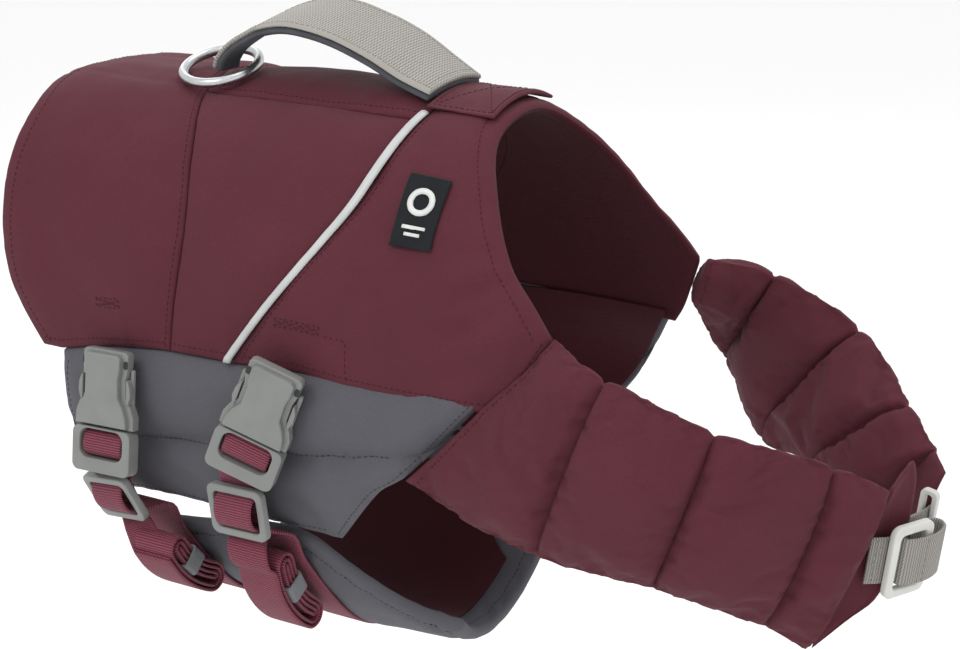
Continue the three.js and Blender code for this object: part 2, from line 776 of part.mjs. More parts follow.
for (const strap of STRAPS) {
  const { buckle, slider, roll } = strap;
  const socket = add(`buckle_socket_${strap.name}`, moulded(socketShape(), BUCKLE.low, BUCKLE.high, 1.5), GREY_PLASTIC);
  const plug = add(`buckle_plug_${strap.name}`, moulded(plugShape(), BUCKLE.low, BUCKLE.high - 1, 1), GREY_PLASTIC);
  const sliderOutline = frameShape(SLIDER.width, SLIDER.height, SLIDER.bar, 4);
  const frame = add(`slider_${strap.name}`, moulded(sliderOutline, 0, SLIDER.thick, 0.8), GREY_PLASTIC);
  place(socket, vector(buckle.at), vector(buckle.across), vector(buckle.up));
  place(plug, vector(buckle.at), vector(buckle.across), vector(buckle.up));
  place(frame, vector(slider.at), vector(slider.across), vector(slider.up));
  plug.updateMatrix();
  frame.updateMatrix();

  const stations = [];
  const alongX = new THREE.Vector3(1, 0, 0);
  const pass = (point, across = alongX) => stations.push({ point, across });
  const inBuckle = (y, z) => pass(new THREE.Vector3(0, y, z).applyMatrix4(plug.matrix), vector(buckle.across));
  const inSlider = (y, z) => pass(new THREE.Vector3(0, y, z).applyMatrix4(frame.matrix), vector(slider.across));

  // Short tab that ties the socket to the hem
  inBuckle(12, -0.4);
  inBuckle(22, 0.8);
  inBuckle(31, 1.2);
  add(`tab_${strap.name}`, ribbon(stations.splice(0), WEBBING.width - 1, WEBBING.thick), BURGUNDY_WEBBING);

  // Far hem, belly, and the rise to the slider
  const farHem = 2 * bellyMiddle(strap.bellyX) - HEM - 8;
  const nearSide = GREY_BOTTOM - 4;
  const count = 22;
  for (let k = 0; k <= count; k += 1) {
    const s = lerp(farHem, nearSide, k / count);
    const x = lerp(strap.bellyX, strap.liftX, 1 - smooth(s, nearSide, 320));
    const height = BELLY_FOAM.middle + 1.4 + 2 * (1 - smooth(s, nearSide, 300));
    pass(onBody(x, s, height));
  }
  inSlider(-10, -3.4);
  inSlider(10, -3.4);
  inBuckle(-34, -1.3);
  inBuckle(-24, -1.3);
  inBuckle(WINDOW.middle + 1, 1);
  inBuckle(WINDOW.middle + 3.2, 4);
  inBuckle(WINDOW.middle + 1.5, 7.2);
  inBuckle(WINDOW.middle - 1, 7.2);
  inBuckle(WINDOW.middle - 3, 6);
  inBuckle(WINDOW.middle - 3.9, 3.6);
  inBuckle(WINDOW.middle - 4.3, 1.4);
  inBuckle(-24, 1);
  inBuckle(-33, 1);
  inSlider(13, -1.4);
  inSlider(9, -1.2);
  inSlider(7, 1);
  inSlider(5.4, 4);
  inSlider(2, 6.4);
  inSlider(-3, 6.4);
  inSlider(-6, 4);
  inSlider(-7.4, 1);
  inSlider(-9, -1.2);
  inSlider(-15, -1.8);
  strap.hang.forEach((p) => pass(new THREE.Vector3(p.x, p.y, p.z)));

  // Roll of spare webbing, curved under the belly; its two outer layers leave room for the elastic keeper
  const slope = THREE.MathUtils.degToRad(roll.slope);
  const bend = THREE.MathUtils.degToRad(roll.curve) / roll.half;
  const outward = (run) => {
    const angle = slope - bend * run;
    return new THREE.Vector3(0, -Math.sin(angle), -Math.cos(angle));
  };
  const inRoll = (run, height) => {
    const angle = slope - bend * run;
    const y = roll.y + (Math.sin(slope) - Math.sin(angle)) / bend;
    const z = roll.z - (Math.cos(angle) - Math.cos(slope)) / bend;
    return new THREE.Vector3(roll.x, y, z).addScaledVector(outward(run), height);
  };
  const radius = ((ROLL.layers - 1) / 2) * ROLL.pitch;
  const heights = [];
  for (let k = 0; k < ROLL.layers; k += 1) {
    const reach = radius - Math.floor(k / 2) * ROLL.pitch;
    heights.push(k % 2 === 0 ? reach : -reach);
  }
  heights[0] += ROLL.keeperRoom;
  heights[2] += ROLL.keeperRoom;
  heights.forEach((height, k) => {
    const way = k % 2 === 0 ? 1 : -1;
    for (const part of [-1, -0.5, 0, 0.5, 1]) pass(inRoll(way * roll.half * part, height));
    if (k === ROLL.layers - 1) return;
    const turn = (height - heights[k + 1]) / 2;
    for (const part of [0.2, 0.4, 0.6, 0.8]) {
      const angle = Math.PI * part;
      pass(inRoll(way * (roll.half + Math.abs(turn) * Math.sin(angle)), height - turn * (1 - Math.cos(angle))));
    }
  });
  add(`strap_${strap.name}`, ribbon(stations, WEBBING.width, WEBBING.thick), BURGUNDY_WEBBING);

  // Elastic keeper round all the layers but the two outermost
  const top = heights[4] + WEBBING.thick / 2 + KEEPER.gap;
  const bottom = heights[1] - WEBBING.thick / 2 - KEEPER.gap;
  const band = frameShape(WEBBING.width + 2 * (KEEPER.thick + SEAM), top - bottom + 2 * KEEPER.thick, KEEPER.thick, 1);
  const keeper = add(`keeper_${strap.name}`, moulded(band, -KEEPER.length / 2, KEEPER.length / 2, 0), ELASTIC);
  place(keeper, inRoll(KEEPER.run, (top + bottom) / 2), alongX, outward(KEEPER.run).negate());
}

// Chest fastening between the arms' ends, drawn flat: x towards the far arm, y up the band, z out
const CHEST = { at: [319, -17, -181.5], across: [0.42, 0.89, 0], up: [0.2, 0.08, 0.97] };

function onChest(mesh) {
  place(mesh, vector(CHEST.at), vector(CHEST.across), vector(CHEST.up));
}

function chestWebbing(points) {
  const across = new THREE.Vector3(0, 1, 0);
  const stations = points.map((p) => ({ point: new THREE.Vector3(p.x, 0, p.z), across }));
  return ribbon(stations, WEBBING.width, WEBBING.thick);
}

onChest(add("chest_webbing_near", chestWebbing([
  { x: -19, z: -1.8 },
  { x: -12, z: 1.1 },
  { x: -6, z: 1.8 },
  { x: 0, z: 1.8 },
]), GREY_WEBBING));
onChest(add("chest_slider", moulded(frameShape(25, 38, 4.5, 4), 3, 7, 0.8), PALE_PLASTIC));
onChest(add("chest_webbing_loop", chestWebbing([
  { x: -5, z: 4.2 },
  { x: -4, z: 7 },
  { x: 1, z: 8.6 },
  { x: 10, z: 8.9 },
  { x: 17, z: 7.4 },
  { x: 22, z: 4.6 },
  { x: 23.8, z: 0.6 },
  { x: 21, z: -2.8 },
  { x: 15, z: -3.8 },
  { x: 9, z: -4 },
]), GREY_WEBBING));
const FAR_WEBBING = [
  { x: 43, z: -35 },
  { x: 41.6, z: -28 },
  { x: 40, z: -22 },
  { x: 33, z: -13.5 },
  { x: 21, z: -10 },
  { x: 10, z: -8.5 },
  { x: 0, z: -7.5 },
];
onChest(add("chest_webbing_far", chestWebbing(FAR_WEBBING), GREY_WEBBING));

// Second slider, on the far webbing, seen end on
const smallFrame = moulded(frameShape(9, 38, 2.6, 3), -1.8, 1.8, 0.6);
const [before, after] = [FAR_WEBBING[3], FAR_WEBBING[4]];
smallFrame.rotateY(Math.atan2(after.x - before.x, after.z - before.z));
smallFrame.translate((before.x + after.x) / 2, 2.5, (before.z + after.z) / 2);
onChest(add("chest_slider_far", smallFrame, PALE_PLASTIC));

export default jacket;
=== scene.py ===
"""Dog life jacket in its worn shape: padded cloth, webbing, moulded buckles and a leash ring."""

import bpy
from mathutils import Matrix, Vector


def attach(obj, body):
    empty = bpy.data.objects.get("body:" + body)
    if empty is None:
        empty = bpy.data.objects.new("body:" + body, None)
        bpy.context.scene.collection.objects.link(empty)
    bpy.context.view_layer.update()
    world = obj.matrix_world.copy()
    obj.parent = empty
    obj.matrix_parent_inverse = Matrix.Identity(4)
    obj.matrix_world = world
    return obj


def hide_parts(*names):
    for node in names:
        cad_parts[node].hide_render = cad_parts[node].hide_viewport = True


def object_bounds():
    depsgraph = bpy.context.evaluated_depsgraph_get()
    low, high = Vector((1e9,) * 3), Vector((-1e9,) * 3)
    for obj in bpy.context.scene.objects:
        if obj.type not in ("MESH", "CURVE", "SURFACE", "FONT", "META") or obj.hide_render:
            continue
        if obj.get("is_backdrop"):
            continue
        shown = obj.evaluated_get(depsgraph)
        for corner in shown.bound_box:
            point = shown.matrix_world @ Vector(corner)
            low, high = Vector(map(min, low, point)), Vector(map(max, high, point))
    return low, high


bl_info = {
    "name": "Dog life jacket",
    "version": (1, 0, 0),
    "blender": (4, 5, 0),
    "location": "3D View > Sidebar > Life jacket",
    "description": "Makes the jacket's cloth, webbing, buckles and stitching over its solid frame",
    "category": "Add Mesh",
}

import math
from bisect import bisect_left

import bmesh
import bpy
from bpy.props import FloatProperty, FloatVectorProperty, PointerProperty
from mathutils import Matrix, Vector, noise
from mathutils.bvhtree import BVHTree

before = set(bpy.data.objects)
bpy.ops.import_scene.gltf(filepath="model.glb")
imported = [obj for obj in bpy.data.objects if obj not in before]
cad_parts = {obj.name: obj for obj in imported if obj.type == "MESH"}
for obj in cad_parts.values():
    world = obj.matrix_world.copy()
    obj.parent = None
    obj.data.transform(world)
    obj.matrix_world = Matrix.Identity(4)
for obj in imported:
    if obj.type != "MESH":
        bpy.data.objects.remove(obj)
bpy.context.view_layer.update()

MM = 0.001
SEAM = 0.3
HEM = 175
SHOULDER = 136
ROOT_END = 222
FAR_ROOT_END = 165
GREY_BOTTOM = 267
SPINE_EDGE = 33
LOWER_REAR = -121
BODY_DEPTH = 158
BODY_MIDDLE = -120
LOWER_POWER = 2.1
SECTION_STEPS = 120


def lerp(a, b, t):
    return a + (b - a) * t


def clamp(value, low, high):
    return max(low, min(high, value))


def smooth(value, low, high):
    t = clamp((value - low) / (high - low), 0, 1)
    return t * t * (3 - 2 * t)


def bump_of(distance, width):
    """1 on a line, falling smoothly to nothing beside it."""
    return math.exp(-((distance / width) ** 2))


def wander(a, b, size, seed=0.0):
    """Even, repeatable unevenness of cloth between -1 and 1."""
    return noise.noise(Vector((a / size, b / size, seed)))


def along(table, at, column=1):
    """Value of one column of a table at a place along its first column, on a smooth curve."""
    last = len(table) - 1
    value = clamp(at, table[0][0], table[last][0])
    i = 0
    while i < last - 1 and value > table[i + 1][0]:
        i += 1
    a, b = table[i], table[i + 1]
    before, after = table[max(i - 1, 0)], table[min(i + 2, last)]
    span = b[0] - a[0]
    t = (value - a[0]) / span
    slope_a = (b[column] - before[column]) / (b[0] - before[0]) * span
    slope_b = (after[column] - a[column]) / (after[0] - a[0]) * span
    t2, t3 = t * t, t * t * t
    return (
        (2 * t3 - 3 * t2 + 1) * a[column]
        + (t3 - 2 * t2 + t) * slope_a
        + (-2 * t3 + 3 * t2) * b[column]
        + (t3 - t2) * slope_b
    )


# Body inside the cloth, in millimetres along the back: half width, rise, squareness of the upper part
BODY_SHAPE = [
    (-165, 89, 114, 3.3),
    (-60, 91.5, 118, 2.4),
    (0, 92, 120, 2.2),
    (60, 92, 120, 2.1),
    (115, 89, 120, 1.9),
    (170, 80, 120, 1.9),
]

section_cache = {}


def section(x):
    """Lengths and points from the spine down to the middle of the belly, at a place along the back."""
    key = round(x * 5)
    if key in section_cache:
        return section_cache[key]
    half, rise, power = (along(BODY_SHAPE, x, column) for column in (1, 2, 3))
    lengths, points = [], []
    length = 0
    for k in range(SECTION_STEPS + 1):
        angle = math.pi * k / SECTION_STEPS
        upper = angle <= math.pi / 2
        bend = 2 / (power if upper else LOWER_POWER)
        reach = rise if upper else -BODY_DEPTH
        y = half * max(math.sin(angle), 0) ** bend
        z = BODY_MIDDLE + reach * abs(math.cos(angle)) ** bend
        if points:
            length += math.hypot(y - points[-1][0], z - points[-1][1])
        points.append((y, z))
        lengths.append(length)
    result = (lengths, points, lengths[SECTION_STEPS // 2])
    section_cache[key] = result
    return result


def on_body(x, s, height):
    """Point on the body: x along the back, s the cut length round it from the spine, raised by a height."""
    lengths, points, hem = section(x)
    girth = lengths[-1]
    side = 1 if s < 0 else -1
    reach = abs(s)
    start = reach * hem / HEM if reach <= HEM else hem + reach - HEM
    if start > girth:
        start = 2 * girth - start
        side = -side
    k = clamp(bisect_left(lengths, start), 1, len(points) - 1)
    t = (start - lengths[k - 1]) / (lengths[k] - lengths[k - 1])
    p, q = points[k - 1], points[k]
    a, b = points[max(k - 3, 0)], points[min(k + 2, len(points) - 1)]
    run = math.hypot(b[0] - a[0], b[1] - a[1])
    across = -(b[1] - a[1]) / run * clamp(start / 12, 0, 1) * clamp((girth - start) / 12, 0, 1)
    up = math.copysign(math.sqrt(max(1 - across * across, 0)), b[0] - a[0])
    y = lerp(p[0], q[0], t) + across * height
    z = lerp(p[1], q[1], t) + up * height
    return Vector((x, side * y, z))


def belly_middle(x):
    """Half the girth at a place along the back, as a cut length."""
    lengths, _, hem = section(x)
    return HEM + lengths[-1] - hem


# Edges of the cut pieces: cut length round the body, place along the back
REAR_EDGE = [(0, -165), (42, -163), (64, -160), (115, -161), (145, -157), (169, -140), (191, -121)]
REAR_SEAM = [(0, -78), (40, -64), (75, -49), (113, -41), (175, -46)]
PIPING_SEAM = [(0, 70), (28, 67), (82, 57), (108, 43), (150, 11), (175, -8)]
NECK_RIM = [(0, 110), (35, 111), (70, 125), (104, 142), (122, 157), (SHOULDER, 168)]
ARM_ROOT = [(SHOULDER, 168), (152, 159), (171, 142), (ROOT_END, 92), (232, 77), (GREY_BOTTOM + 2, 46)]
FAR_ROOT = [(SHOULDER, 168), (152, 162), (171, 154), (ROOT_END, 118), (GREY_BOTTOM + 2, 72)]
# Place along the back, cut length round the body
HEM_LINE = [(-122, 190), (-90, 183), (-47, 178), (0, 177), (64, 173), (142, 171)]
GREY_LINE = [(-122, 273), (-71, 266), (50, 267)]
QUILT_LINE = [(-125, 231), (-31, 225), (46, 217), (110, 208)]
BELLY_EDGE = [(-76, 286), (-45, 280), (-15, 272), (24, GREY_BOTTOM + 4), (46, 290), (70, 313), (88, 321), (108, 323)]
BELLY_REAR = -76
BELLY_FRONT_NEAR = 101
BELLY_FRONT_FAR = 91
BELLY_BORDER = 17


def rear_edge(s):
    return along(REAR_EDGE, abs(s))


def rear_seam(s):
    return along(REAR_SEAM, abs(s))


def piping_seam(s):
    return along(PIPING_SEAM, abs(s))


def arm_root(s):
    return along(FAR_ROOT if s < 0 else ARM_ROOT, abs(s))


def front_edge(s):
    return along(NECK_RIM, abs(s)) if abs(s) < SHOULDER else arm_root(s) - SEAM


def hem_drop(x, s):
    """How far the cut moves down towards the hem, which hangs lower at the rump."""
    return math.copysign((along(HEM_LINE, x) - HEM) * smooth(abs(s), 110, HEM), s)


def lower_drop(x, s):
    """The same for the grey lower sides, between the hem and their own lower edge."""
    u = (abs(s) - HEM) / (GREY_BOTTOM - HEM)
    return math.copysign(1, s) * lerp(along(HEM_LINE, x) - HEM, along(GREY_LINE, x) - GREY_BOTTOM, u)


def lower_rear(s):
    return LOWER_REAR - 3 * math.sin(math.pi * (abs(s) - HEM) / (GREY_BOTTOM - HEM))


def flare(x, s):
    """The far front corner stands off the body, pulled out by its arm."""
    return 20 * smooth(x, 20, 110) * smooth(-s, HEM, ROOT_END) if s < 0 else 0


def no_shift(x, s):
    return 0


# Materials


def linear(hex_colour):
    """Linear colour from a screen colour such as 63323C."""
    values = [int(hex_colour[k : k + 2], 16) / 255 for k in (0, 2, 4)]
    return tuple(v / 12.92 if v <= 0.04045 else ((v + 0.055) / 1.055) ** 2.4 for v in values)


def node(tree, kind, settings=None, links=None):
    """Adds one node with its settings and the sockets that feed it."""
    made = tree.nodes.new(kind)
    for name, value in (settings or {}).items():
        if isinstance(name, str) and hasattr(made, name):
            setattr(made, name, value)
        else:
            made.inputs[name].default_value = value
    for name, source in (links or {}).items():
        tree.links.new(source, made.inputs[name])
    return made


def math_node(tree, operation, a, b=0.0):
    """One sum of two values or sockets."""
    made = node(tree, "ShaderNodeMath", {"operation": operation})
    for k, value in enumerate((a, b)):
        if isinstance(value, (int, float)):
            made.inputs[k].default_value = value
        else:
            tree.links.new(value, made.inputs[k])
    return made.outputs[0]


def new_material(name, roughness, metallic=0.0, sheen=0.0, gloss=0.5):
    """Empty finish with its shader, ready for colour and relief."""
    material = bpy.data.materials.new(name)
    material.use_nodes = True
    tree = material.node_tree
    shader = tree.nodes["Principled BSDF"]
    shader.inputs["Roughness"].default_value = roughness
    shader.inputs["Metallic"].default_value = metallic
    shader.inputs["Sheen Weight"].default_value = sheen
    shader.inputs["Sheen Roughness"].default_value = 0.45
    shader.inputs["Specular IOR Level"].default_value = gloss
    return material, tree, shader


def tinted(tree, base, low, high, factor):
    """Colour that goes from a darker to a lighter tone of the base with a factor."""
    ramp = node(tree, "ShaderNodeValToRGB", links={"Fac": factor})
    first, last = ramp.color_ramp.elements
    first.position, last.position = 0.25, 0.75
    first.color = (*(c * low for c in base), 1)
    last.color = (*(min(c * high, 1) for c in base), 1)
    return ramp.outputs["Color"]


def cloth_material(name, base, thread, crumple, tone=(0.86, 1.12), sheen=0.025, roughness=0.8):
    """Close-woven nylon: fine crossed threads, soft crumples and a slightly uneven dye."""
    material, tree, shader = new_material(name, roughness, sheen=sheen, gloss=0.22)
    place = node(tree, "ShaderNodeTexCoord").outputs["Object"]
    dye = node(tree, "ShaderNodeTexNoise", {"Scale": 26.0, "Detail": 5.0, "Roughness": 0.6}, {"Vector": place})
    grain = node(tree, "ShaderNodeTexNoise", {"Scale": 0.55 / thread, "Detail": 2.0}, {"Vector": place})
    mixed = math_node(tree, "ADD", math_node(tree, "MULTIPLY", dye.outputs["Fac"], 0.55),
                      math_node(tree, "MULTIPLY", grain.outputs["Fac"], 0.45))
    tree.links.new(tinted(tree, base, tone[0], tone[1], mixed), shader.inputs["Base Color"])
    split = node(tree, "ShaderNodeSeparateXYZ", links={"Vector": place})
    turn = 2 * math.pi / thread
    waves = [math_node(tree, "SINE", math_node(tree, "MULTIPLY", split.outputs[axis], turn)) for axis in "XYZ"]
    weave = math_node(tree, "ADD", math_node(tree, "MULTIPLY", waves[0], waves[2]),
                      math_node(tree, "MULTIPLY", waves[1], waves[2]))
    soft = node(tree, "ShaderNodeTexNoise",
                {"Scale": 48.0, "Detail": 4.0, "Roughness": 0.5, "Distortion": 0.35}, {"Vector": place})
    folds = node(tree, "ShaderNodeBump", {"Strength": 1.0, "Distance": crumple}, {"Height": soft.outputs["Fac"]})
    threads = node(tree, "ShaderNodeBump", {"Strength": 0.6, "Distance": 0.00006},
                   {"Height": weave, "Normal": folds.outputs["Normal"]})
    tree.links.new(threads.outputs["Normal"], shader.inputs["Normal"])
    return material


def webbing_material(name, base, light, pitch, selvedge=None, width=25.0, speckle=0.0):
    """Woven webbing: cross ribs along its length, a finer twill across, painted highlight on the rib crowns, painted
    shade in the rib valleys, and lighter edges.
    """
    material, tree, shader = new_material(name, 0.72, sheen=0.05, gloss=0.25)
    cut = node(tree, "ShaderNodeUVMap", {"uv_map": "cut"}).outputs["UV"]
    place = node(tree, "ShaderNodeTexCoord").outputs["Object"]
    split = node(tree, "ShaderNodeSeparateXYZ", links={"Vector": cut})
    across, run = split.outputs["X"], split.outputs["Y"]
    column = math_node(tree, "SINE", math_node(tree, "MULTIPLY", across, 2 * math.pi / (pitch * 1.5)))
    shifted = math_node(tree, "ADD", math_node(tree, "MULTIPLY", run, 2 * math.pi / pitch),
                        math_node(tree, "MULTIPLY", column, 0.9))
    rib = math_node(tree, "ADD", math_node(tree, "MULTIPLY", math_node(tree, "SINE", shifted), 0.5), 0.5)
    dirt = node(tree, "ShaderNodeTexNoise", {"Scale": 1500.0 if speckle else 300.0, "Detail": 2.0}, {"Vector": place})
    height = math_node(tree, "ADD", math_node(tree, "MULTIPLY", rib, 1 - speckle * 0.6),
                       math_node(tree, "MULTIPLY", dirt.outputs["Fac"], 0.25 + speckle * 0.6))
    # painted highlight and shade: the colour follows the rib height, from the valley colour up to the crown colour
    ramp = node(tree, "ShaderNodeValToRGB", links={"Fac": height})
    first, last = ramp.color_ramp.elements
    first.position, last.position = 0.18, 0.95
    first.color, last.color = (*base, 1), (*light, 1)
    colour = ramp.outputs["Color"]
    if selvedge:
        edge = math_node(tree, "GREATER_THAN", math_node(tree, "ABSOLUTE", across), width / 2 - 2.6)
        mix = node(tree, "ShaderNodeMix", {"data_type": "RGBA"})
        mix.inputs["B"].default_value = (0, 0, 0, 1)
        sockets = {s.name: s for s in mix.inputs if s.type == "RGBA"}
        tree.links.new(edge, mix.inputs[0])
        tree.links.new(colour, sockets["A"])
        sockets["B"].default_value = (*selvedge, 1)
        colour = next(s for s in mix.outputs if s.type == "RGBA")
    tree.links.new(colour, shader.inputs["Base Color"])
    relief = node(tree, "ShaderNodeBump", {"Strength": 0.8, "Distance": 0.0003}, {"Height": height})
    tree.links.new(relief.outputs["Normal"], shader.inputs["Normal"])
    return material


def moulded_material(name, base, roughness=0.42):
    """Moulded acetal: a faint spark-eroded grain and slightly uneven gloss."""
    material, tree, shader = new_material(name, roughness)
    place = node(tree, "ShaderNodeTexCoord").outputs["Object"]
    cloud = node(tree, "ShaderNodeTexNoise", {"Scale": 60.0, "Detail": 3.0}, {"Vector": place})
    tree.links.new(tinted(tree, base, 0.9, 1.08, cloud.outputs["Fac"]), shader.inputs["Base Color"])
    grain = node(tree, "ShaderNodeTexNoise", {"Scale": 1800.0, "Detail": 1.0}, {"Vector": place})
    uneven = node(tree, "ShaderNodeMapRange", {"To Min": roughness - 0.06, "To Max": roughness + 0.12},
                  {"Value": cloud.outputs["Fac"]})
    tree.links.new(uneven.outputs["Result"], shader.inputs["Roughness"])
    relief = node(tree, "ShaderNodeBump", {"Strength": 0.35, "Distance": 0.00008}, {"Height": grain.outputs["Fac"]})
    tree.links.new(relief.outputs["Normal"], shader.inputs["Normal"])
    return material


def foam_cloth_material(name, base):
    """Soft neoprene: matt rubber foam with a fine knitted face."""
    material, tree, shader = new_material(name, 0.85, sheen=0.08, gloss=0.25)
    place = node(tree, "ShaderNodeTexCoord").outputs["Object"]
    knit = node(tree, "ShaderNodeTexVoronoi", {"Scale": 1100.0}, {"Vector": place})
    cloud = node(tree, "ShaderNodeTexNoise", {"Scale": 90.0, "Detail": 4.0}, {"Vector": place})
    tree.links.new(tinted(tree, base, 0.82, 1.15, cloud.outputs["Fac"]), shader.inputs["Base Color"])
    relief = node(tree, "ShaderNodeBump", {"Strength": 0.4, "Distance": 0.00015}, {"Height": knit.outputs["Distance"]})
    tree.links.new(relief.outputs["Normal"], shader.inputs["Normal"])
    return material


def steel_material(name):
    """Satin steel: bright, with fine drawn scratches that widen its highlights."""
    material, tree, shader = new_material(name, 0.26, metallic=1.0)
    place = node(tree, "ShaderNodeTexCoord").outputs["Object"]
    scratch = node(tree, "ShaderNodeTexNoise", {"Scale": 700.0, "Detail": 3.0}, {"Vector": place})
    uneven = node(tree, "ShaderNodeMapRange", {"To Min": 0.2, "To Max": 0.4}, {"Value": scratch.outputs["Fac"]})
    tree.links.new(uneven.outputs["Result"], shader.inputs["Roughness"])
    tree.links.new(tinted(tree, linear("C6C8CA"), 0.92, 1.05, scratch.outputs["Fac"]), shader.inputs["Base Color"])
    return material


def finish_of(name):
    """One of the jacket's finishes, made once from the colours in the panel."""
    ready = bpy.data.materials.get(name)
    if ready:
        return ready
    colours = bpy.context.scene.jacket_colours
    burgundy, lining, grey = colours.burgundy[:], colours.lining[:], colours.grey_cloth[:]
    # the two strap colours are painted shade in the rib valleys and painted highlight on the rib crowns
    pale, rib_valley_shade, rib_crown_highlight = colours.pale_webbing[:], colours.strap_valley_shade[:], colours.strap_crown_highlight[:]
    makers = {
        # matt burgundy nylon with an even dye, which carries most of the jacket's colour
        "burgundy nylon": lambda: cloth_material(name, burgundy, 0.0007, 0.0009),
        # the same dye, darker and flatter inside: painted shade of the jacket's inside
        "shaded burgundy lining": lambda: cloth_material(name, lining, 0.0008, 0.0006),
        # cool grey nylon with a soft sheen on its puffed side
        "grey nylon": lambda: cloth_material(name, grey, 0.0007, 0.0009, tone=(0.88, 1.1)),
        # pale speckled knit with thicker light edges on the carrying handle; its darker and lighter tones of the pale
        # colour are painted shade in the rib valleys and painted highlight on the crowns
        "handle webbing": lambda: webbing_material(
            name, tuple(c * 0.42 for c in pale), tuple(c * 1.15 for c in pale), 1.7,
            selvedge=tuple(c * 0.95 for c in pale), width=50, speckle=0.6),
        # pale ribbed webbing across the chest, with painted shade darkening its rib valleys
        "pale webbing": lambda: webbing_material(name, tuple(c * 0.5 for c in pale), pale, 1.3),
        # burgundy webbing with a pink painted highlight on its rib crowns and painted shade in the valleys
        "burgundy webbing": lambda: webbing_material(name, rib_valley_shade, rib_crown_highlight, 1.25),
        # grey elastic with close ribs, darker in the valleys as painted shade and lighter on the crowns as painted
        # highlight
        "grey elastic": lambda: webbing_material(name, linear("5C5E62"), linear("85878B"), 0.9),
        # reflective tape on the piping: nearly white, a little glossy
        "reflective tape": lambda: moulded_material(name, colours.reflective[:], 0.35),
        # grey acetal of the side-release buckles
        "grey acetal": lambda: moulded_material(name, colours.buckle[:]),
        # paler acetal of the chest sliders
        "pale acetal": lambda: moulded_material(name, colours.chest_slider[:]),
        # painted shade: dark plates where the latch's hollows are, so they read as openings
        "latch shadow": lambda: moulded_material(name, linear("2A2B2C"), 0.6),
        # soft dark rubber of the badge
        "badge rubber": lambda: foam_cloth_material(name, linear("17191D")),
        # raised pale print on the badge
        "badge relief": lambda: moulded_material(name, linear("D8D8D6"), 0.5),
        # grey neoprene under the handle
        "grey neoprene": lambda: foam_cloth_material(name, linear("4A4B50")),
        # welded leash ring
        "satin steel": lambda: steel_material(name),
        # burgundy sewing thread, a touch darker than the cloth
        "burgundy thread": lambda: cloth_material(name, tuple(c * 0.62 for c in burgundy), 0.0004, 0.0001),
        # grey sewing thread, darker than the grey cloth
        "grey thread": lambda: cloth_material(name, linear("3A3A40"), 0.0004, 0.0001),
        # pale sewing thread on the pale webbing
        "pale thread": lambda: cloth_material(name, linear("8F8E8A"), 0.0004, 0.0001),
        # matt white studio floor
        "studio floor": lambda: cloth_material(name, (0.97, 0.97, 0.97), 0.002, 0.0, tone=(0.99, 1.01), sheen=0.0),
    }
    return makers[name]()


# Mesh helpers; all points are in millimetres until the mesh is made


def make_object(name, points, faces, material, cuts=None):
    mesh = bpy.data.meshes.new(name)
    mesh.from_pydata([p * MM for p in points], [], faces)
    mesh.update()
    if cuts:
        layer = mesh.uv_layers.new(name="cut")
        for loop in mesh.loops:
            layer.data[loop.index].uv = cuts[loop.vertex_index]
    mesh.polygons.foreach_set("use_smooth", [True] * len(mesh.polygons))
    mesh.materials.append(finish_of(material))
    made = bpy.data.objects.new(name, mesh)
    bpy.context.scene.collection.objects.link(made)
    return made


def shell(name, outer, inner, material, cut=None):
    """Closed shell between two grids of points, joined round the edge."""
    rows, columns = len(outer), len(outer[0])
    half = rows * columns
    points = [p for row in outer for p in row] + [p for row in inner for p in row]
    faces = []
    for i in range(rows - 1):
        for j in range(columns - 1):
            a = i * columns + j
            faces.append((a, a + 1, a + columns + 1, a + columns))
            faces.append((half + a, half + a + columns, half + a + columns + 1, half + a + 1))
    rim = [j for j in range(columns - 1)]
    rim += [i * columns + columns - 1 for i in range(rows - 1)]
    rim += [(rows - 1) * columns + j for j in range(columns - 1, 0, -1)]
    rim += [i * columns for i in range(rows - 1, 0, -1)]
    for k, a in enumerate(rim):
        b = rim[(k + 1) % len(rim)]
        faces.append((a, half + a, half + b, b))
    volume = 0
    for f in faces:
        a, b, c, d = (points[k] for k in f)
        volume += a.dot(b.cross(c)) + a.dot(c.cross(d))
    if volume < 0:
        faces = [f[::-1] for f in faces]
    cuts = [c for row in cut for c in row] * 2 if cut else None
    return make_object(name, points, faces, material, cuts)


def edge_steps(length, step):
    """Places from 0 to 1 along a length in mm, closer together near both ends."""
    ends = [0, 0.35, 1, 2, 3.4, 5.4, 8]
    ends = [e for e in ends if e < length / 3]
    count = max(int((length - 2 * ends[-1]) / step), 2)
    middle = [lerp(ends[-1], length - ends[-1], k / count) for k in range(1, count)]
    places = ends + middle + [length - e for e in reversed(ends)]
    return [p / length for p in places]


def round_in(distance, radius):
    """From 0 on an edge to 1 a radius inside it, along a quarter circle."""
    t = clamp(distance / radius, 0, 1)
    return math.sqrt(1 - (1 - t) ** 2)


def fold_depth(x, s, folds):
    """Sum of listed soft creases; each runs between two places with a depth and a width."""
    total = 0
    for x1, s1, x2, s2, depth, width in folds:
        dx, ds = x2 - x1, s2 - s1
        t = ((x - x1) * dx + (s - s1) * ds) / (dx * dx + ds * ds)
        away = math.hypot(x - lerp(x1, x2, clamp(t, 0, 1)), s - lerp(s1, s2, clamp(t, 0, 1)))
        total += 1.7 * depth * bump_of(away, width) * (1 - 0.8 * abs(clamp(2 * t - 1, -1, 1)) ** 2)
    return total


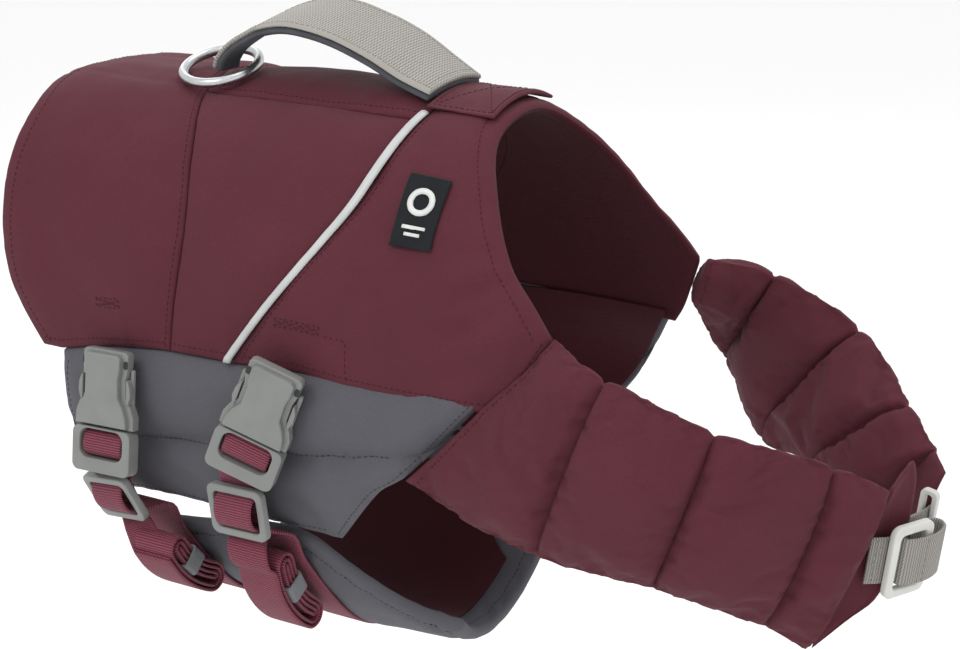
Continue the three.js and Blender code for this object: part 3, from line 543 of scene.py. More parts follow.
def panel(name, span, left, right, foam, material, free="", drop=no_shift, shift=no_shift, lift=0.0,
          extra=no_shift, pucker=0.5, step=3.2, seed=0.0,
          inside=None):
    """Padded piece of the body, rows by cut length and columns from its left to its right edge.
    Its free edges are rounded right over; its seamed edges are only tucked in."""
    edge, middle = foam
    start, end = span
    length = abs(end - start)
    rows = [lerp(start, end, u) for u in edge_steps(length, step)]
    mean = sum(right(s) - left(s) for s in rows) / len(rows)
    columns = edge_steps(mean, step)
    outer, inner, cut = [], [], []
    for s in rows:
        x0, x1 = left(s), right(s)
        gaps = {"start": abs(s - start), "end": abs(end - s)}
        outer_row, inner_row, cut_row = [], [], []
        for v in columns:
            x = lerp(x0, x1, v)
            gaps["left"], gaps["right"] = v * (x1 - x0), (1 - v) * (x1 - x0)
            tuck_out = tuck_in = 0
            swell = 1
            ripple = 0
            for side, gap in gaps.items():
                loose = side in free
                radius = edge / 2 if loose else 2.4
                depth = edge / 2 - 0.15 if loose else 1.7
                rise = 1 - round_in(gap, radius)
                tuck_out = max(tuck_out, depth * rise)
                tuck_in = max(tuck_in, (depth if loose else 0.3) * rise)
                swell *= 1 - math.exp(-((gap / 9) ** 1.4))
                place = s if side in ("left", "right") else x
                sway = math.sin(place / 2.1 + 3 * wander(place, gap, 17, seed + 3))
                ripple += sway * math.exp(-gap / 8) * (0.5 + wander(place, 0, 23, seed + 9))
            soft = 1.5 * wander(x, s, 52, seed) + 0.55 * wander(x, s, 21, seed + 5)
            relief = (soft + pucker * ripple) * round_in(min(gaps.values()), 6) - extra(x, s)
            round_s = s + drop(x, s)
            base = lift + shift(x, s)
            outer_row.append(on_body(x, round_s, base + edge + (middle - edge) * swell + relief - tuck_out))
            inner_row.append(on_body(x, round_s, base + tuck_in))
            cut_row.append((x, s))
        outer.append(outer_row)
        inner.append(inner_row)
        cut.append(cut_row)
    made = shell(name, outer, inner, material, cut)
    # inner faces take the darker lining finish, painted shade of the inside
    if inside:
        made.data.materials.append(finish_of(inside))
        half = len(made.data.vertices) // 2
        for face in made.data.polygons:
            if min(face.vertices) >= half:
                face.material_index = 1
    return made


def dress(made, node_name, body="jacket"):
    """Ties a finished piece to its body and the solid it stands for."""
    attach(made, body)
    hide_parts(node_name)
    return made


BACK_FOAM = (5.5, 8.5)
SIDE_FOAM = (5.0, 11.5)
# Soft creases: from place and cut length to place and cut length, depth, width
FRONT_FOLDS = [
    (143, 112, 112, 128, 1.6, 5),
    (147, 121, 118, 142, 1.4, 5),
    (136, 98, 108, 104, 1.1, 5),
    (60, 60, 100, 120, 0.8, 12),
    (150, 150, 90, 168, 1.0, 6),
    (30, 140, 95, 165, 0.8, 8),
]
REAR_FOLDS = [
    (-150, 60, -120, 150, 1.0, 12),
    (-100, 40, -70, 110, 0.9, 14),
    (-140, 20, -90, 34, 1.0, 8),
    (-130, 130, -80, 165, 1.0, 9),
]
MIDDLE_FOLDS = [
    (-35, 60, 10, 120, 0.9, 12),
    (-40, 120, 0, 165, 0.8, 10),
    (20, 60, 45, 100, 0.7, 9),
]
LOWER_FOLDS = [
    (-100, 195, -60, 222, 1.3, 8),
    (-20, 190, 10, 212, 1.2, 8),
    (60, 185, 80, 205, 1.2, 7),
    (20, 240, 45, 256, 1.4, 6),
    (-60, 238, -25, 258, 1.3, 7),
    (-110, 240, -90, 262, 1.2, 6),
]


def back_lines(x, s):
    """Sunk seams and creases of the back pieces."""
    near = abs(s)
    spine = bump_of(near - SPINE_EDGE, 1.1) * 1.1
    return spine + fold_depth(x, near, REAR_FOLDS)


def front_lines(x, s):
    near = abs(s)
    edging = bump_of(front_edge(s) - x - 8, 1.2) * 0.7
    return edging + fold_depth(x, near, FRONT_FOLDS)


def middle_lines(x, s):
    return fold_depth(x, abs(s), MIDDLE_FOLDS)


def quilt_lines(x, s):
    near = abs(s)
    away = near - along(QUILT_LINE, x)
    sink = 4.6 * math.exp(-abs(away) / 3.4) + 3.2 * bump_of(away, 12)
    gather = 0.9 * math.sin(x / 1.9 + 3 * wander(x, 0, 15, 4)) * math.exp(-abs(away) / 7)
    return sink + gather * (1 - bump_of(away, 1.5)) + fold_depth(x, near, LOWER_FOLDS)


class JACKET_OT_back(bpy.types.Operator):
    """Makes the burgundy padded pieces of the back and sides"""

    bl_idname = "jacket.back"
    bl_label = "Back and side pieces"

    def execute(self, context):
        pieces = [
            panel("rear_back_cloth", (-HEM, HEM), rear_edge, lambda s: rear_seam(s) - SEAM / 2, BACK_FOAM,
                  "burgundy nylon", free="left start end", drop=hem_drop, extra=back_lines, seed=1,
                  inside="shaded burgundy lining"),
            panel("spine_cloth", (-SPINE_EDGE + SEAM / 2, SPINE_EDGE - SEAM / 2), lambda s: rear_seam(s) + SEAM / 2,
                  lambda s: piping_seam(s) - SEAM / 2, BACK_FOAM, "burgundy nylon", seed=2,
                  inside="shaded burgundy lining"),
            panel("front_back_cloth", (-HEM, HEM), lambda s: piping_seam(s) + SEAM / 2, front_edge, BACK_FOAM,
                  "burgundy nylon", free="right start end", drop=hem_drop, extra=front_lines, seed=3,
                  inside="shaded burgundy lining"),
        ]
        nodes = ["rear_panel", "spine_strip", "front_panel"]
        for side, sign in (("near", 1), ("far", -1)):
            pieces.append(panel(
                f"middle_cloth_{side}", (sign * (SPINE_EDGE + SEAM / 2), sign * HEM),
                lambda s: rear_seam(s) + SEAM / 2, lambda s: piping_seam(s) - SEAM / 2, BACK_FOAM,
                "burgundy nylon", free="end", drop=hem_drop, extra=middle_lines, seed=4 + sign,
                inside="shaded burgundy lining"))
            nodes.append(f"middle_panel_{side}")
        for made, node_name in zip(pieces, nodes):
            dress(made, node_name)
        return {"FINISHED"}


def thin_panel(name, span, left, right, material, drop, shift, lift, wrinkle=0.35, step=4.0):
    """Flat lining cloth on the body, with small wrinkles."""
    start, end = span
    rows = [lerp(start, end, u) for u in edge_steps(abs(end - start), step)]
    mean = sum(right(s) - left(s) for s in rows) / len(rows)
    columns = edge_steps(mean, step)
    outer, inner, cut = [], [], []
    for s in rows:
        outer_row, inner_row, cut_row = [], [], []
        for v in columns:
            x = lerp(left(s), right(s), v)
            away = min(v * mean, (1 - v) * mean, abs(s - start), abs(end - s))
            soft = wrinkle * (wander(x, s, 21, 7) + 0.5 * wander(x, s, 9, 8)) * smooth(away, 0, 12)
            base = lift + shift(x, s) - abs(soft)
            outer_row.append(on_body(x, s + drop(x, s), base + 1.2))
            inner_row.append(on_body(x, s + drop(x, s), base))
            cut_row.append((x, s))
        outer.append(outer_row)
        inner.append(inner_row)
        cut.append(cut_row)
    return shell(name, outer, inner, material, cut)


def belly_grid(inset, across, count):
    """Places of the belly piece: cut along the back, cut round it, and how far in from the edges."""
    grid = []
    for u in across:
        row = []
        for v in count:
            bow = 4 * (1 - (2 * u - 1) ** 2)
            front = lerp(BELLY_FRONT_NEAR, BELLY_FRONT_FAR, u) - inset - bow
            x = lerp(BELLY_REAR + inset, front, v)
            edge = along(BELLY_EDGE, x) + inset
            row.append((x, lerp(edge, 2 * belly_middle(x) - edge, u)))
        grid.append(row)
    return grid


def belly_cloth(name, inset, foam, lift, material, padded):
    wide, long = 205 - 2 * inset, 170 - 2 * inset
    across, count = edge_steps(wide, 3.6), edge_steps(long, 3.6)
    edge, middle = foam
    outer, inner, cut = [], [], []
    for u, row in zip(across, belly_grid(inset, across, count)):
        outer_row, inner_row, cut_row = [], [], []
        for v, (x, s) in zip(count, row):
            gap = min(u * wide, (1 - u) * wide, v * long, (1 - v) * long)
            soft = (1.9 * wander(x, s, 40, 12) + 0.8 * wander(x, s, 17, 13)) * smooth(gap, 0, 12)
            edge_run = x + s
            gather = math.sin(edge_run / 2.6 + 4 * wander(edge_run, gap, 22, 14)) * (0.5 + wander(edge_run, 0, 30, 15))
            if padded:
                rise = 1 - round_in(gap, edge / 2)
                border = bump_of(gap - 8, 1.3) * 0.8
                swell = 1 - math.exp(-((gap / 12) ** 1.4))
                top = edge + (middle - edge) * swell + soft - border - (edge / 2 - 0.15) * rise
                bottom = (edge / 2 - 0.15) * rise + 1.1 * gather * bump_of(gap - 8, 4.5)
                top += 1.0 * gather * bump_of(gap - 8, 6)
            else:
                top, bottom = edge - 0.3 * abs(soft), -0.3 * abs(soft)
            outer_row.append(on_body(x, s, lift + top))
            inner_row.append(on_body(x, s, lift + bottom))
            cut_row.append((x, s))
        outer.append(outer_row)
        inner.append(inner_row)
        cut.append(cut_row)
    return shell(name, outer, inner, material, cut)


class JACKET_OT_lower(bpy.types.Operator):
    """Makes the grey lower sides, the belly piece and their burgundy linings"""

    bl_idname = "jacket.lower"
    bl_label = "Lower sides and belly"

    def execute(self, context):
        for side, sign in (("near", 1), ("far", -1)):
            made = panel(
                f"lower_cloth_{side}", (sign * (HEM + SEAM), sign * GREY_BOTTOM), lower_rear,
                lambda s: arm_root(s) - SEAM, SIDE_FOAM, "grey nylon", free="left end", drop=lower_drop,
                shift=flare, extra=quilt_lines, pucker=0.7, seed=20 + sign)
            dress(made, f"lower_side_{side}")
            lining = thin_panel(
                f"lower_lining_cloth_{side}", (sign * (HEM + 2), sign * (GREY_BOTTOM - 3)),
                lambda s: lower_rear(s) + 3, lambda s: arm_root(s) - 3, "shaded burgundy lining", lower_drop, flare,
                -1.2 - 2 * SEAM)
            dress(lining, f"lower_lining_{side}")
            sheet_of(lining)
        belly = belly_cloth("belly_cloth", 0, (6.5, 10), 0, "grey nylon", True)
        dress(belly, "belly_panel")
        inset = belly_cloth("belly_lining_cloth", BELLY_BORDER, (1.2, 1.2), -1.2 - 3 * SEAM, "shaded burgundy lining", False)
        dress(inset, "belly_lining")
        sheet_of(inset)
        return {"FINISHED"}


def sheet_of(made, wide=None):
    """Works out the flat size of a thin cloth's cut from the cut lengths kept on it, and its area; nothing is kept from
    it.
    """
    layer = made.data.uv_layers["cut"].data
    us, vs = [d.uv[0] for d in layer], [d.uv[1] for d in layer]
    wide = (wide or max(us) - min(us)) * MM
    long = (max(vs) - min(vs)) * MM
    area = sum(p.area for p in made.data.polygons) / 2
    clamp(area, 0.31 * wide * long, wide * long)


# Chest arms: along the band, the upper edge and the lower edge
NEAR_ARM = [
    (0, 168, -83, -86, 92, -91, -170),
    (60, 203, -94, -93, 166, -92, -189),
    (118, 255, -87, -111, 225, -85, -195),
    (178, 297, -48, -132, 269, -55, -216),
    (204, 317, -30, -146, 284, -40, -230),
]
FAR_ARM = [
    (0, 170, 86, -88, 152, 100, -120),
    (60, 203, 96, -93, 160, 138, -160),
    (118, 255, 87, -111, 195, 107, -190),
    (178, 297, 48, -132, 240, 68, -184),
    (204, 317, 30, -146, 268, 45, -208),
]
ARM_QUILTS = [60, 118, 178]
ARM_END = 204
ARM_EDGE = 5
ARM_QUILT = 16
ARM_CROWN = 25
NEAR_TONGUE = [
    (0, 319, -15, -142),
    (0.07, 319, -6, -139),
    (0.2, 321, -7, -150),
    (0.5, 319, -15, -179),
    (0.8, 311, -25, -204),
    (0.93, 300, -33, -215),
    (1, 287, -39, -229),
]
FAR_TONGUE = [
    (0, 328, 14, -150),
    (0.4, 318, 18, -172),
    (0.75, 300, 27, -194),
    (1, 272, 42, -210),
]


def band_point(table, run, across):
    at = [along(table, run, column) for column in range(1, 7)]
    return Vector(at[:3]).lerp(Vector(at[3:]), across)


def root_point(side, end, gap, across):
    s = side * lerp(SHOULDER, end, across)
    return on_body(arm_root(s) + gap, s, BACK_FOAM[0] / 2 + flare(arm_root(s), s))


def arm_fullness(run):
    lines = [-14, *ARM_QUILTS, ARM_END + 2]
    k = 0
    while k < len(lines) - 2 and run > lines[k + 1]:
        k += 1
    u = (run - lines[k]) / (lines[k + 1] - lines[k])
    return math.sqrt(max(1 - abs(2 * u - 1) ** 4.5, 0))


def thickened(name, middle, thickness, material, cut):
    """Shell on both sides of a grid of middle points."""
    outer, inner = [], []
    last = len(middle) - 1
    for i, row in enumerate(middle):
        end = len(row) - 1
        outer_row, inner_row = [], []
        for j, point in enumerate(row):
            down = middle[min(i + 1, last)][j] - middle[max(i - 1, 0)][j]
            right = row[min(j + 1, end)] - row[max(j - 1, 0)]
            normal = down.cross(right).normalized()
            front, back = thickness(i, j)
            outer_row.append(point + normal * front)
            inner_row.append(point - normal * back)
        outer.append(outer_row)
        inner.append(inner_row)
    return shell(name, outer, inner, material, cut)


def arm_cloth(name, table, side, end, gap, seed):
    runs = sorted({0, 1, 2.5, 4, *range(6, 200, 3), *ARM_QUILTS, 199, 201.5, 203.3, 204})
    wide = 112
    columns = edge_steps(wide, 3.2)
    middle, cut = [], []
    for run in runs:
        pinch = sum(2.8 * math.exp(-abs(run - q) / 3.5) for q in ARM_QUILTS)
        row = []
        for across in columns:
            pulled = lerp(pinch / wide, 1 - 0.4 * pinch / wide, across)
            pull = (1 - smooth(run, 0, 55)) ** 2
            seam = root_point(side, end, gap, pulled) - band_point(table, 0, pulled)
            row.append(band_point(table, run, pulled) + seam * pull)
        middle.append(row)
        cut.append([(run, across * wide) for across in columns])

    def thickness(i, j):
        run, across = runs[i], columns[j]
        gap_in = min(across, 1 - across) * wide
        crown = lerp(ARM_QUILT, ARM_CROWN, arm_fullness(run)) * lerp(0.5, 1, smooth(run, 0, 25))
        full = crown * (1 - abs(2 * across - 1) ** 2.8) ** 0.62
        nearest = min(abs(run - q) for q in [0, *ARM_QUILTS, ARM_END])
        place = across * wide
        gather = math.sin(place / 1.75 + 4 * wander(place, nearest, 13, seed)) * math.exp(-nearest / 9)
        gather *= 0.55 + 0.9 * wander(place, run, 24, seed + 2)
        soft = 1.3 * wander(run, place, 34, seed + 4) + 0.5 * wander(run, place, 15, seed + 6)
        ends = round_in(run, 3) * round_in(ARM_END - run, 3)
        groove = sum(3.4 * math.exp(-abs(run - q) / 1.4) for q in ARM_QUILTS) * smooth(gap_in, 0, 6)
        half = max(full / 2 * lerp(0.35, 1, ends) - groove, 0.12)
        ease = smooth(half, 0, 3)
        return half + (soft + 1.0 * gather) * ease, half + (soft * 0.7 - 0.6 * gather) * ease

    made = thickened(name, middle, thickness, "burgundy nylon", cut)
    half = len(runs) * len(columns)
    seams = []
    for i, run in enumerate(runs):
        for j in range(len(columns)):
            at_edge = j in (0, len(columns) - 1)
            if at_edge or min(abs(run - q) for q in (0, *ARM_QUILTS, ARM_END)) < 1.6:
                seams += [i * len(columns) + j, half + i * len(columns) + j]
    puff(made, seams, 3.5)
    return made


def puff(made, seams, cap):
    """Fills a sewn piece by cloth simulation: its seams are held, pressure and a little spare cloth wrinkle the rest."""
    scene = bpy.context.scene
    held = made.vertex_groups.new(name="seams")
    held.add(seams, 1.0, "REPLACE")
    cloth = made.modifiers.new("Cloth", "CLOTH")
    settings = cloth.settings
    settings.quality = 6
    settings.mass = 0.25
    settings.vertex_group_mass = "seams"
    settings.use_pressure = True
    settings.uniform_pressure_force = 4
    settings.shrink_min = -0.035
    settings.bending_stiffness = 0.3
    settings.effector_weights.gravity = 0
    cloth.point_cache.frame_start = 1
    cloth.point_cache.frame_end = 20
    for step in range(1, 21):
        scene.frame_set(step)
    shaped = made.evaluated_get(bpy.context.evaluated_depsgraph_get()).to_mesh()
    moved = [v.co.copy() for v in shaped.vertices]
    made.modifiers.remove(cloth)
    made.vertex_groups.remove(held)
    for vertex, place in zip(made.data.vertices, moved):
        move = place - vertex.co
        if move.length > cap * MM:
            move = move.normalized() * cap * MM
        vertex.co += move
    made.data.update()
    scene.frame_set(1)


def tongue_cloth(name, arm_table, table, gap, seed):
    columns, rows = 30, 12
    middle, cut = [], []
    for i in range(rows + 1):
        row = []
        for j in range(columns + 1):
            across = j / columns
            edge = Vector([along(table, across, column) for column in (1, 2, 3)])
            start = band_point(arm_table, ARM_END, across)
            start = start + (edge - start).normalized() * gap
            row.append(start.lerp(edge, i / rows))
        middle.append(row)
        cut.append([(i / rows * 30, j / columns * 105) for j in range(columns + 1)])

    def thickness(i, j):
        sway = 0.7 * wander(i * 2.5, j * 3.5, 16, seed) * smooth(i, 0, 2) * smooth(rows - i, 0, 2)
        border = 0.35 * bump_of((rows - i) * 2.5 - 6, 1.6)
        rim = min(i * 2.5 + 2, (rows - i) * 2.5, j * 3.5, (columns - j) * 3.5)
        half = lerp(0.4, 1.2, round_in(rim, 2))
        return half + sway - border, half - sway - border

    return thickened(name, middle, thickness, "burgundy nylon", cut)


class JACKET_OT_arms(bpy.types.Operator):
    """Makes the two quilted chest arms and their flat ends"""

    bl_idname = "jacket.arms"
    bl_label = "Chest arms"

    def execute(self, context):
        sides = (
            ("near", NEAR_ARM, 1, ROOT_END, SEAM, NEAR_TONGUE, 3),
            ("far", FAR_ARM, -1, FAR_ROOT_END, 4.1, FAR_TONGUE, 1),
        )
        for side, table, sign, end, gap, tongue_table, tongue_gap in sides:
            made = arm_cloth(f"arm_cloth_{side}", table, sign, end, gap, 30 + sign)
            dress(made, f"arm_{side}")
            flat = tongue_cloth(f"tongue_cloth_{side}", table, tongue_table, tongue_gap, 40 + sign)
            dress(flat, f"tongue_{side}")
            sheet_of(flat)
        return {"FINISHED"}


# Trim


def body_strip(name, rows, centre, width, low, high, material):
    """Rounded tape that follows a seam."""
    columns = 8
    outer, inner, cut = [], [], []
    for s in rows:
        outer_row, inner_row, cut_row = [], [], []
        for j in range(columns + 1):
            t = 2 * j / columns - 1
            crown = math.sqrt(max(1 - t * t, 0)) * 0.7 + 0.3
            x = centre(s) + t * width / 2
            sway = 0.12 * wander(x, s, 7, 50)
            outer_row.append(on_body(x, s, lerp(low, high, crown) + sway))
            inner_row.append(on_body(x, s, low))
            cut_row.append((t * width / 2, s))
        outer.append(outer_row)
        inner.append(inner_row)
        cut.append(cut_row)
    return shell(name, outer, inner, material, cut)


LABEL_X = 92
LABEL_S = 86
LABEL_WIDTH = 22
LABEL_LENGTH = 36
LABEL_HEIGHT = BACK_FOAM[1] + SEAM


def badge_relief():
    """A plain ring and two bars, raised on the badge as a generic float sign."""
    points, faces = [], []

    def strip(outline_in, outline_out, closed=True):
        start = len(points)
        count = len(outline_in)
        for outline, height in ((outline_in, 0.9), (outline_in, 1.9), (outline_out, 1.9), (outline_out, 0.9)):
            for x, s in outline:
                points.append(on_body(LABEL_X + x, LABEL_S + s, LABEL_HEIGHT + height))
        for ring in range(4):
            for k in range(count):
                a, b = k, (k + 1) % count
                c = (ring + 1) % 4
                faces.append((start + ring * count + a, start + ring * count + b, start + c * count + b,
                              start + c * count + a))

    def circle(radius, middle=-4.5, count=40):
        turn = 2 * math.pi / count
        return [(radius * math.cos(k * turn), middle + radius * math.sin(k * turn)) for k in range(count)]

    def box(width, length, middle, count=10):
        w, h = width / 2, length / 2
        sides = [((-w, -h), (w, -h)), ((w, -h), (w, h)), ((w, h), (-w, h)), ((-w, h), (-w, -h))]
        return [(lerp(a[0], b[0], k / count), middle + lerp(a[1], b[1], k / count))
                for a, b in sides for k in range(count)]

    strip(circle(4.2), circle(7))
    strip(box(0.4, 0.2, 8.2), box(12, 1.6, 8.2))
    strip(box(0.4, 0.2, 11.6), box(8, 1.4, 11.6))
    mesh_points = points
    made = make_object("badge_sign", mesh_points, faces, "badge relief")
    tidy_normals(made)
    return made


def tidy_normals(made):
    work = bmesh.new()
    work.from_mesh(made.data)
    bmesh.ops.recalc_face_normals(work, faces=work.faces)
    work.to_mesh(made.data)
    work.free()


class JACKET_OT_trim(bpy.types.Operator):
    """Makes the reflective piping, the badge and the patch under the handle"""

    bl_idname = "jacket.trim"
    bl_label = "Piping, badge and patch"

    def execute(self, context):
        low, high = BACK_FOAM[0] + 1.5, BACK_FOAM[0] + 3.4
        for side, sign in (("near", 1), ("far", -1)):
            rows = [sign * lerp(29, HEM + 1, k / 60) for k in range(61)]
            made = body_strip(f"piping_tape_{side}", rows, piping_seam, 5, low, high - 0.5, "reflective tape")
            dress(made, f"piping_{side}")
        badge = panel("badge", (LABEL_S - LABEL_LENGTH / 2, LABEL_S + LABEL_LENGTH / 2),
                      lambda s: LABEL_X - LABEL_WIDTH / 2, lambda s: LABEL_X + LABEL_WIDTH / 2, (1.2, 1.5),
                      "badge rubber", free="left right start end", lift=LABEL_HEIGHT, pucker=0,
                      extra=lambda x, s: 0.25 * bump_of(min(11 - abs(x - LABEL_X), 18 - abs(s - LABEL_S)) - 1.6, 0.4)
                      + 1.5 * wander(x, s, 52, 0) + 0.55 * wander(x, s, 21, 5), step=1.2)
        dress(badge, "label")
        sign_piece = badge_relief()
        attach(sign_piece, "jacket")
        patch = panel("handle_patch_cloth", (-28, 28), lambda s: 67.8, lambda s: 106, (2.2, 2.8), "burgundy nylon",
                      free="left right start end", lift=LABEL_HEIGHT, pucker=0.25, seed=60, step=2.2)
        dress(patch, "front_patch")
        sheet_of(patch)
        return {"FINISHED"}


# Carrying handle: place along its arch, x, y, z, half width, sideways tilt, crown
HANDLE_PATH = [
    (0, 67.3, 0, 12.6, 25, 0, 4),
    (1, 50, 0, 19.5, 25, 2, 3),
    (2, 31, 0, 27.5, 25, 3, 1.5),
    (3, 11, 0, 34, 25, 3.2, 0.8),
    (4, -8, 0, 38, 25, 3.5, 0.5),
    (5, -24, 0, 38.8, 25, 3.5, 0.5),
    (6, -40, -1, 35, 23, 3, 0.5),
    (7, -51, -6, 29, 15.5, 2, 0.5),
    (8, -61, -12, 21, 9, 0.5, 0),
    (9, -67, -13, 14, 8.5, 0, 0),
    (10, -69, -13, 8.6, 8.5, 0, 0),
]
HANDLE_LAST = len(HANDLE_PATH) - 1
RING = {"radius": 20.3, "wire": 2.6, "at": (-68.5, -17, 9.6), "tilt": 16.5}


def handle_point(at, t, height):
    centre = Vector([along(HANDLE_PATH, at, column) for column in (1, 2, 3)])
    ahead = Vector([along(HANDLE_PATH, min(at + 0.1, HANDLE_LAST), column) for column in (1, 2, 3)])
    behind = Vector([along(HANDLE_PATH, max(at - 0.1, 0), column) for column in (1, 2, 3)])
    tangent = ahead - behind
    normal = Vector((tangent.z, 0, -tangent.x)).normalized()
    half, tilt, crown = (along(HANDLE_PATH, at, column) for column in (4, 5, 6))
    point = centre + normal * (height - crown * t * t + tilt * t)
    point.y += half * t
    return point


def handle_layer(name, low, high, material, fold):
    stations, columns = 96, 26
    outer, inner, cut = [], [], []
    run = 0
    before = None
    for i in range(stations + 1):
        at = HANDLE_LAST * i / stations
        centre = handle_point(at, 0, 0)
        run += (centre - before).length if before else 0
        before = centre
        half = along(HANDLE_PATH, at, 4)
        squeeze = smooth(25 - half, 0, 16)
        outer_row, inner_row, cut_row = [], [], []
        for j in range(columns + 1):
            t = 2 * j / columns - 1
            t = math.copysign(abs(t) ** 0.82, t)
            gap = (1 - abs(t)) * half
            rim = round_in(gap, (high - low) / 2)
            mid = (high + low) / 2
            crease = -fold * squeeze * bump_of(t * half, 2.6)
            selvedge = 0.35 * smooth(2.6 - gap, -0.6, 0.6)
            wave = 0.25 * wander(run, t * half, 14, 70)
            reach = (high - low) / 2 * max(rim, 0.12)
            outer_row.append(handle_point(at, t, mid + reach + crease + selvedge * rim + wave))
            inner_row.append(handle_point(at, t, mid - reach + crease + wave * 0.3))
            cut_row.append((t * half, run))
        outer.append(outer_row)
        inner.append(inner_row)
        cut.append(cut_row)
    return shell(name, outer, inner, material, cut)


class JACKET_OT_handle(bpy.types.Operator):
    """Makes the carrying handle and the leash ring"""

    bl_idname = "jacket.handle"
    bl_label = "Handle and ring"

    def execute(self, context):
        webbing = handle_layer("handle_webbing_cloth", 0, 2.2, "handle webbing", 0.0)
        dress(webbing, "handle_webbing")
        sheet_of(webbing)
        lining = handle_layer("handle_lining_cloth", -3.7, -0.3, "grey neoprene", 0.0)
        dress(lining, "handle_lining")
        sheet_of(lining)
        ring = ring_mesh()
        dress(ring, "leash_ring", body="ring")
        return {"FINISHED"}


def ring_mesh():
    around, section_count = 96, 20
    tilt = Matrix.Rotation(math.radians(RING["tilt"]), 3, "X")
    points, faces = [], []
    for i in range(around):
        a = 2 * math.pi * i / around
        for j in range(section_count):
            b = 2 * math.pi * j / section_count
            reach = RING["radius"] + RING["wire"] * math.cos(b)
            local = Vector((reach * math.cos(a), reach * math.sin(a), RING["wire"] * math.sin(b)))
            points.append(tilt @ local + Vector(RING["at"]))
    for i in range(around):
        for j in range(section_count):
            a, b = i * section_count, (i + 1) % around * section_count
            k = (j + 1) % section_count
            faces.append((a + j, b + j, b + k, a + k))
    return make_object("leash_ring_steel", points, faces, "satin steel")


# Moulded pieces: x across, y up the strap, z out from the jacket
STRAPS = [
    {
        "name": "front",
        "buckle": ((19.5, -107.5, -143), (0.88, 0.28, -0.38), (0.4, 0.03, 0.91)),
        "slider": ((4, -107, -195.5), (0.994, -0.085, 0.066), (-0.07, -0.077, 0.994)),
        "belly_x": 20,
        "lift_x": 13,
        "hang": ((8, -109, -216), (10, -109, -224)),
        "roll": (11.5, -89, -246),
        "slope": 56,
        "half": 22,
        "curve": 22,
    },
    {
        "name": "rear",
        "buckle": ((-76.5, -107.5, -157), (1, 0.03, 0.02), (-0.02, 0.15, 0.99)),
        "slider": ((-77, -107, -204), (0.963, -0.208, 0.17), (-0.238, -0.367, 0.899)),
        "belly_x": -58,
        "lift_x": -66,
        "hang": ((-63, -105, -225), (-57, -107.5, -233)),
        "roll": (-52, -92, -244),
        "slope": 42,
        "half": 20,
        "curve": 18,
    },
]
CHEST = ((319, -17, -181.5), (0.42, 0.89, 0), (0.2, 0.08, 0.97))
WEBBING_WIDTH = 25
WEBBING_THICK = 1.6


def placed(spot):
    """Matrix in millimetres of a flat drawing set on the jacket."""
    at, across, up = spot
    x = Vector(across).normalized()
    z = x.cross(Vector(up)).normalized()
    y = z.cross(x)
    turn = Matrix((x, y, z)).transposed().to_4x4()
    return Matrix.Translation(Vector(at)) @ turn


def rounded(width, height, radius, middle=(0, 0), count=6):
    """Corner points of a rounded rectangle, anticlockwise."""
    w, h = width / 2 - radius, height / 2 - radius
    corners = ((w, -h, -90), (w, h, 0), (-w, h, 90), (-w, -h, 180))
    outline = []
    for x, y, start in corners:
        for k in range(count + 1):
            a = math.radians(start + 90 * k / count)
            outline.append((middle[0] + x + radius * math.cos(a), middle[1] + y + radius * math.sin(a)))
    return outline


def prism(outline, low, high, hole=None):
    """bmesh of an outline, with or without a hole of as many points, raised between two heights."""
    work = bmesh.new()
    levels = []
    for ring in [outline] + ([hole] if hole else []):
        levels.append([[work.verts.new((x, y, z)) for x, y in ring] for z in (low, high)])
    count = len(outline)
    for k in range(count):
        n = (k + 1) % count
        (bottom, top) = levels[0]
        work.faces.new((bottom[k], bottom[n], top[n], top[k]))
        if hole:
            (hole_bottom, hole_top) = levels[1]
            work.faces.new((hole_bottom[n], hole_bottom[k], hole_top[k], hole_top[n]))
            work.faces.new((top[k], top[n], hole_top[n], hole_top[k]))
            work.faces.new((bottom[n], bottom[k], hole_bottom[k], hole_bottom[n]))
    if not hole:
        work.faces.new(levels[0][1])
        work.faces.new(levels[0][0][::-1])
    return work


def bevelled(work, width, segments=3, sharp=30):
    """Rounds the prism's edges that turn more than an angle."""
    work.normal_update()
    edges = [e for e in work.edges if len(e.link_faces) == 2 and e.calc_face_angle() > math.radians(sharp)]
    bmesh.ops.bevel(work, geom=edges, offset=width, segments=segments, profile=0.6, affect="EDGES", clamp_overlap=True)


def bmesh_piece(name, parts, matrix, material, slots=None):
    """Joins finished bmesh parts into one object in place; each part is (bmesh, finish)."""
    finishes = [material] + [f for _, f in parts if f != material]
    finishes = list(dict.fromkeys(finishes))
    points, faces, marks = [], [], []
    for work, finish in parts:
        work.verts.ensure_lookup_table()
        start = len(points)
        points += [matrix @ v.co for v in work.verts]
        work.verts.index_update()
        for f in work.faces:
            faces.append([start + v.index for v in f.verts])
            marks.append(finishes.index(finish))
        work.free()
    made = make_object(name, points, faces, finishes[0])
    for finish in finishes[1:]:
        made.data.materials.append(finish_of(finish))
    made.data.polygons.foreach_set("material_index", marks)
    tidy_normals(made)
    made.data.polygons.foreach_set("use_smooth", [True] * len(made.data.polygons))
    made.data.set_sharp_from_angle(angle=math.radians(40))
    return made


BUCKLE_HALF = 18.5
SOCKET_SIDE = [
    (12.5, 33),
    (14.4, 31.5),
    (14.2, 24),
    (13.2, 19),
    (13.4, 9),
    (16.6, 4),
    (18.5, -1),
    (18.5, -7.7),
]


def mirrored(side):
    return [(x, y) for x, y in side] + [(-x, y) for x, y in reversed(side)]


